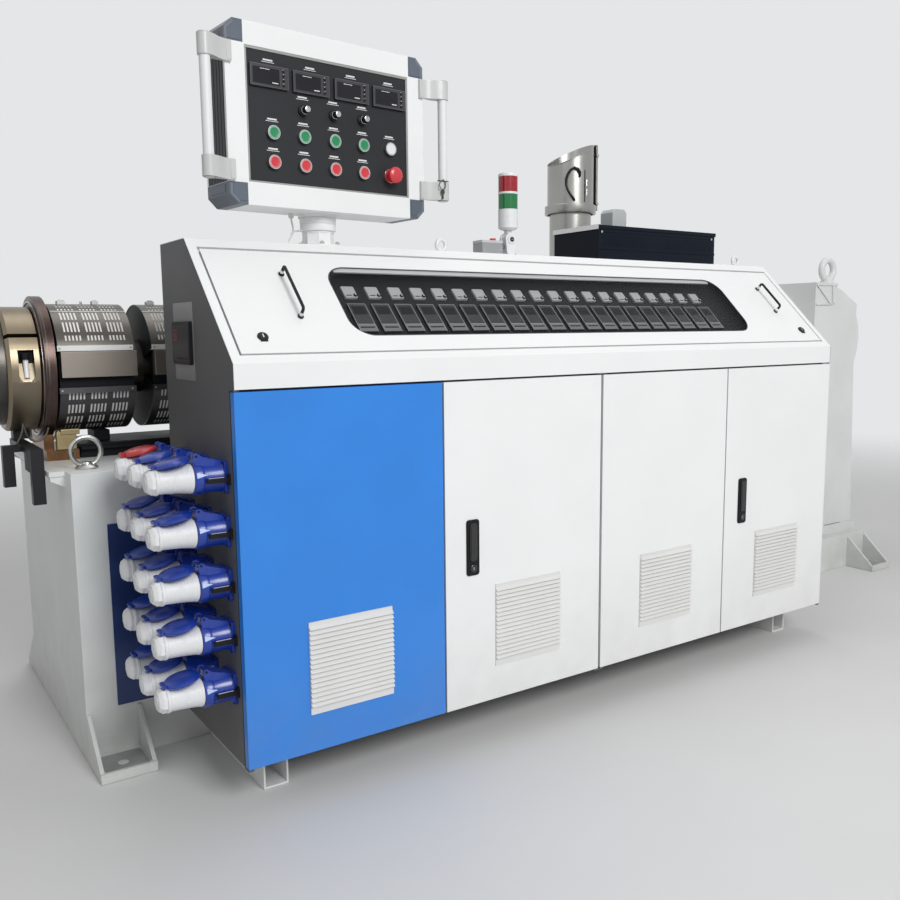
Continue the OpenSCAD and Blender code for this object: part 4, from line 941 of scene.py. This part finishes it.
def heater_covers():
    upper, lower, sleeve, trim = Shape(), Shape(), Shape(), Shape()
    boxes, blocks = Shape(), Shape()
    y = AXIS_Y
    for i in range(ZONES):
        x0 = ZONE_START + i * ZONE_PITCH
        at = on_axis(x0)
        slotted_half(upper, at, 16.5, 175, UPPER_ROWS)
        slotted_half(lower, at, -175, -16.5, LOWER_ROWS)
        # Pale insulation under the slots
        for a0, a1 in ((19, 172), (-172, -19)):
            perforated(sleeve, at, SHELL_R - 0.5, SHELL_R - 1.2,
                       [a0 + (a1 - a0) * k / 30 for k in range(31)], [6, ZONE_LEN - 6],
                       lambda a, z: False)
        for z in (1.0, ZONE_LEN - 2.2):
            end_plate(trim, at, z)
        # Folded edges over and under the terminal cover, with their screws; the upper edge is
        # near-white, a painted highlight
        for low, high, end, mat in (
                ((-163, 975.5), (-151, 977), 6, 0), ((-164.4, 975.5), (-163, 989), 6, 0),
                ((-162, 883.5), (-151, 885), 3, 2), ((-163.4, 871), (-162, 885), 3, 2)):
            trim.box((x0 - 3, y + low[0], low[1]), (x0 + ZONE_LEN - end, y + high[0], high[1]),
                     mat)
        for x in (x0 + 3, x0 + ZONE_LEN - 12):
            trim.cylinder(2.6, 164.4, 166.2, 3, move(x, y, 982.5) @ OUT, 12, edge=0.5)
            trim.cylinder(2.6, 163.4, 165.2, 3, move(x, y, 878) @ OUT, 12, edge=0.5)
        # Black strip behind the gap: painted shade
        trim.box((x0 + 2, y - 146, 884), (x0 + ZONE_LEN - 3, y - 142, 978), 1)
        # Lap of the top sheet, near-white as a painted highlight
        for a in (60.6, 119.4):
            pts = [front(r, a + turn, z) for z in (0.5, ZONE_LEN - 0.5)
                   for r, turn in ((164.6, -0.35), (166.0, -0.35), (166.0, 0.35), (164.6, 0.35))]
            trim.add(pts, [(0, 1, 2, 3), (7, 6, 5, 4), (0, 4, 5, 1), (1, 5, 6, 2), (2, 6, 7, 3),
                           (3, 7, 4, 0)], 0, at)
        # Terminal cover with folded ends
        a, b = x0 + 4, x0 + 186
        for x, low, high in (((a, b), (-167, 910), (-165.4, 974)),
                             ((a, b), (-165.4, 972.4), (-143, 974)),
                             ((a, b), (-165.4, 910), (-143, 911.6)),
                             ((a, a + SHEET), (-165.4, 911.6), (-143, 972.4)),
                             ((b - SHEET, b), (-165.4, 911.6), (-143, 972.4))):
            boxes.box((x[0], y + low[0], low[1]), (x[1], y + high[0], high[1]))
        # Terminal blocks on top and the short lead between them
        for a, b in ((32, 52), (118, 134)):
            blocks.box((x0 + a, y - 14, 1092), (x0 + b, y + 6, 1103))
            blocks.box((x0 + a + 3, y - 11, 1103), (x0 + b - 3, y - 5, 1106), 1)
        blocks.cylinder(3, 1094, 1102, 1, move(x0 + 92, y - 4, 0), 12, edge=0.6)
    upper.make("upper_covers", "cover_steel", [COVER], replaces=["heater_covers"])
    lower.make("lower_covers", "cover_steel", [LOWER_SHEET])
    sleeve.make("insulation", "cover_steel", [CERAMIC])
    trim.make("cover_edges", "cover_steel", [SHEET_HIGHLIGHT, BLACK_ENAMEL, LOWER_SHEET, ZINC])
    boxes.make("terminal_boxes", "cover_steel", [TERMINAL], bevel=0.9,
               replaces=["terminal_covers"])
    blocks.make("top_terminals", "white_plastic", [CERAMIC, ZINC], bevel=0.7)


def die_clamp():
    """Split clamp ring with chamfered edges, its bolt seats and the joint behind it."""
    s = Shape()
    x0, length, r = -312.0, 76.0, 157.0
    at = on_axis(x0)
    profile = [(100, 0), (150, 0), (r, 8), (r, length - 4), (r - 3, length), (100, length)]
    # Front band with its recess, which runs out upwards of its own bolt
    low_a, high_a, end_a = -10.5, 18.6, 19.4
    m, steps = len(profile), 60
    # Upper and lower halves, from gap to gap
    for a0, a1 in ((34.6, 145.4), (-210.6, 30.6)):
        angles = [a0 + (a1 - a0) * k / steps for k in range(steps + 1)]
        rings = [[s.vert(front(q, a, h), at) for q, h in profile] for a in angles]
        for k in range(steps):
            for j in range(m):
                if j != 2 or not low_a < (angles[k] + angles[k + 1]) / 2 < end_a:
                    s.face([rings[k][j], rings[k][(j + 1) % m], rings[k + 1][(j + 1) % m],
                            rings[k + 1][j]])
        for ring in (rings[0], rings[-1][::-1]):
            s.face(ring, 0, False)
    perforated(s, at, r, r - 25, [low_a, 0, 6, 12, high_a, end_a], [8, 24, 60, length - 4],
               lambda a, z: a < high_a and 24 < z < 60)
    y, mid = AXIS_Y, x0 + 42
    for side in (-1, 1):
        corner = [(mid + side * 18, 901)] + [
            (mid + side * (polar(18, a)[0]), polar(-21, a, 0, 922)[1]) for a in range(0, 91, 15)]
        s.prism(corner, y - 155.4, y - 132, 0, STAND)
    s.prism([(y - 133, 950), (y - 133, 896), (y - 153, 899), (y - 151, 906)], mid - 18, mid + 18,
            0, ALONG_X)
    s.box((mid - 18, y - 134, 898), (mid + 18, y - 131, 982), 1)
    s.cylinder(11, 958, 972, 1, move(mid, y - 142, 0), 24, edge=1)
    # Near-white rod under the bolt seat: painted highlight
    s.tube([(mid, y - 139, 956), (mid, y - 143, 934), (mid, y - 149, 912)], 6.4, 2, HERE, 18)
    s.make("clamp_ring", "clamp_steel", [CHAMPAGNE, BLACK_ENAMEL, SHEET_HIGHLIGHT],
           replaces=["die_clamp"])

    s = Shape()
    at = on_axis(-232)
    s.lathe([(100, -2.6), (140, -2.6), (142, -3.2), (158, -3.4), (159, -1.2), (166, -1.2),
             (167, -3.2), (173, -3.2), (174, -1.0), (180, -1.0), (184.3, 1.6), (184.3, 6),
             (182.6, 6.6), (182.6, 8.4), (184.3, 9), (184.3, 22.6), (183, 24.2), (120, 24.2)], 0,
            at, 120)
    s.lathe([(168.5, -3.8), (171.5, -3.8), (171.5, -3.2), (168.5, -3.2)], 1, at, 96, closed=True)
    s.make("flange_ring", "bronze", [HOT_STEEL, ZINC], sharp=25)

    # Lower arcs of the two thin rings that hang from the clamp
    s = Shape()
    for arc in ([(-282, 800), (-284, 785), (-289, 769), (-297, 754), (-308, 743)],
                [(-282, 798), (-279, 784), (-275, 770), (-267, 759), (-256, 754), (-245, 756),
                 (-236, 763), (-229, 773), (-225, 786)]):
        s.tube([(x, 690, z) for x, z in arc], 2.6)
    s.make("hanging_rings", "black_steel", [DARK_STEEL])


def bed():
    """Black rail under the barrel with its saddles, and the brass block at its end."""
    s = Shape()
    s.box((-148, 716, 700), (1400, 904, 722))
    s.box((-148, 700, 722), (1400, 920, 736))
    s.box((-150, 696, 733), (1400, 700, 739))
    for k in range(ZONES):
        s.box((-100 + ZONE_PITCH * k, 770, 736), (-60 + ZONE_PITCH * k, 850, 764))
    s.make("bed_rail", "black_steel", [BLACK_ENAMEL], bevel=1.5)
    s = Shape()
    s.box((-206, 702, 726), (-158, 720, 772))
    s.box((-196, 700, 764), (-150, 724, 778))
    s.make("saddle_block", "bronze", [BRASS], bevel=2.0)


def lifting_eyes():
    s = Shape()
    for y in (515, 1055):
        at = move(-177, y, 700)
        s.cylinder(26, 0, 5, 0, at, 40, edge=1)
        s.lathe([(0, 5), (24, 5), (20, 9), (13, 12), (12, 16), (0, 16)], 0, at, 36)
        s.ring(34, 41, 5.8, at, 9, 18)
    s.make("base_eyes", "zinc_steel", [ZINC], replaces=["machine_eyes"])
    s = Shape()
    for y in (560, 1060):
        at = move(2815, y, 1196)
        s.lathe([(0, 0), (30, 0), (30, 6), (27, 10), (25, 14), (0, 14)], 0, at, 40)
        s.ring(40, 57, 13.4, at, 9, 22)
        s.lathe([(24, 10), (17, 22), (0, 22)], 0, at, 32)
    s.make("gearbox_eyes", "machine_paint", [MACHINE])
    s = Shape()
    for x in (712, 1918):
        at = move(x, 320, CAB_TOP)
        s.lathe([(0, 0), (10.4, 0), (10.4, 2.4), (8, 4.4), (0, 4.4)], 0, at, 28)
        s.ring(14.2, 20, 5.4, at, 10, 18)
    s.make("small_eyes", "zinc_steel", [BUTTON_WHITE], replaces=["cabinet_eyes"])


# ---------------------------------------------------------------- feed, drive and base

def hopper():
    cx, low, z0, rim, r, mouth_angle = 1604.0, 1060.0, 1430.0, 1640.0, 83, 27
    at = move(cx, AXIS_Y, 0)
    s = Shape()
    # Drum with an inclined, rolled mouth
    rings = []
    for k in range(96):
        c, d = polar(1, 360 * k / 96)
        h = rim + r * c * math.tan(math.radians(mouth_angle))
        rings.append([s.vert((q * c, q * d, z), at) for q, z in (
            (r, z0 + 6), (r, h - 3), (84.4, h - 2), (84.4, h), (81, h - 0.6), (81, z0 + 6))])
    for a, b in zip(rings, rings[1:] + rings[:1]):
        for j in range(6):
            s.face([a[j], b[j], b[(j + 1) % 6], a[(j + 1) % 6]])
    s.lathe([(r, z0), (91.5, z0), (92, z0 + 1), (92, z0 + 28.6), (91, z0 + 30), (r, z0 + 30)], 0,
            at, 72, closed=True)
    s.lathe([(73, low + 12), (75, low + 12), (75, z0 + 2), (73, z0 + 2)], 0, at, 64, closed=True)
    s.lathe([(73, low), (104, low), (105, low + 1), (105, low + 11), (104, low + 12),
             (73, low + 12)], 0, at, 64, closed=True)
    for k in range(8):
        s.bolt(at @ spin(z=22.5 + 45 * k) @ move(91, 0, low + 12), 13, 9, 1)
    # Clamp lug of the band, and the side plate with its bolts
    s.box((82, -15, z0 + 2), (97, 15, z0 + 28), 0, at)
    s.prism([(83, 1452), (91, 1446), (91, 1676), (83, 1678)], -46, 46, 0, at @ STAND)
    for z in (1470, 1640):
        s.cylinder(6, 46, 51, 1, at @ move(87, 0, z) @ OUT, 18, edge=1)
    s.make("hopper_drum", "hopper_steel", [STAINLESS, ZINC], bevel=0.4, replaces=["hopper"])

    def on_drum(x, z, out):
        return (x, AXIS_Y - math.sqrt(max(1.0, (r + out) ** 2 - (x - cx) ** 2)), z)

    # Curved hand grip and the seam beside it, on the side towards the front
    s = Shape()
    grip = [(1577, 1552, 1), (1574, 1566, 7), (1566, 1577, 9), (1554, 1582, 9), (1543, 1574, 9),
            (1536, 1560, 9), (1532, 1543, 9), (1532, 1524, 9), (1536, 1506, 9), (1544, 1490, 8),
            (1553, 1478, 6), (1560, 1470, 1)]
    s.tube([on_drum(*p) for p in grip], 4.2)
    s.tube([on_drum(1598, z, 0.8) for z in (1466, 1500, 1540, 1576)], 1.6, segments=8)
    for z in (1500, 1532):
        s.tube([on_drum(1604, z - 11, 2.4), on_drum(1604, z + 11, 2.4)], 3.2, 1, segments=10)
    s.make("hopper_grip", "black_steel", [BLACK_STEEL, CHROME])


def housing():
    s = Shape()
    x0, x1, y0 = 1425, 1990, 470
    for x in range(x0 + 22, x0 + 550, 12):
        s.prism([(x, y0), (x + 3, y0 - 2.6), (x + 5, y0 - 2.6), (x + 8, y0)], 1289, 1322)
    s.box((x0 + 2, y0 - 2.6, 1275), (x1 - 2, y0, 1281))
    s.box((x0 + 8, y0 - 2.4, 1330), (x1 - 8, y0, 1336))
    for x in (x0 + 12, x1 - 20):
        for z in (1128, 1330):
            s.cylinder(4, -y0, 3.6 - y0, 1, move(x, 0, z) @ OUT, 14, edge=0.8)
    s.make("housing_slats", "dark_blue_paint", [DARK_BLUE, ZINC])
    s = Shape()
    s.box((x0 - 4.6, y0 - 2, 1338), (x0 - 3, y0 + 222, 1352.4))
    s.box((x0 - 4.6, y0 - 2, 1352), (x0 + 12, y0 + 222, 1353.4))
    s.make("housing_strip", "handle_metal", [HANDLE], bevel=0.5)


def gearbox():
    """Ribs on the front face, and a black strip in the gap over the foot flange as painted shade.
    """
    y = 500.0
    s = Shape()
    for a, b, w in (((2660, 1184), (2750, 1112), 7), ((2656, 1109), (2748, 1109), 7),
                    ((2748, 1109), (2769, 1112), 7), ((2769, 1112), (2763, 1190), 9)):
        a, b = Vector(a), Vector(b)
        along = (b - a).normalized() * 3
        aside = Vector((-along.y, along.x)).normalized() * w / 2
        s.prism([a - along - aside, b + along - aside, b + along + aside, a - along + aside],
                y - 6, y, 0, STAND)
    s.box((2653, y - 5, 1184), (2797, y, 1196))
    s.make("gearbox_ribs", "machine_paint", [MACHINE], bevel=1.4)
    s = Shape()
    # Black strip in the gap over the foot flange: painted shade
    s.box((2781, y - 0.7, 172.5), (2891, y + 1, 177.5))
    s.make("foot_gap_painted_shade", "black_plastic", [BLACK])


def feet():
    """Raised lip with rounded inner corners round the floor of each foot bracket."""
    s, pad = Shape(), Shape()
    wide, reach, rib, r = 128.0, 120.0, 10.0, 16
    for x, y, way in ((x, *end) for x in (-230.0, 2857.0) for end in ((438.0, -1), (1132.0, 1))):
        at = move(x, y, 0) @ mirror(y=way)
        s.box((0.3, reach - 9, 13.5), (wide - 0.3, reach - 0.3, 24), 0, at)
        s.box((rib, 0, 13), (wide - rib, 4, 23), 0, at)
        for corner in (at, at @ move(wide, 0, 0) @ mirror(x=-1)):
            for cy, turn in ((4, 1), (reach - 9, -1)):
                arc = [polar(-r, a, rib + r, r) for a in range(90, -1, -15)]
                s.prism([(rib, cy)] + [(px, cy + turn * py) for px, py in arc], 13, 22, 0, corner)
        # Dark grey floor inside the lip: painted shade
        pad.box((rib, 4, 13.6), (wide - rib, reach - 9, 14.6), 0, at)
        s.lathe([(0, 14.8), (12, 14.8), (13, 14.4)], 0, at @ move(wide / 2, reach / 2, 0), 28)
    s.make("foot_lips", "machine_paint", [MACHINE], bevel=1.6)
    pad.make("foot_pads_painted_shade", "machine_paint", [FOOT_FLOOR_SHADE])


dress_nodes()
add_camera()
for piece in (control_cables, console, door_fittings, sockets, side_meter, control_box,
              control_post, tower, heater_covers, die_clamp, bed, lifting_eyes, hopper, housing,
              gearbox, feet):
    piece()

add_world()
add_floor()
add_lamp("key", (-0.7, -6.1, 4.2), (0.0, 0.0, 0.8), 3.0, 285)
add_lamp("fill", (-5.5, -2.2, 3.0), (-0.6, 0.0, 0.8), 2.5, 8)
add_lamp("top", (0.2, 1.2, 5.5), (0.0, 0.2, 0.8), 3.5, 55)
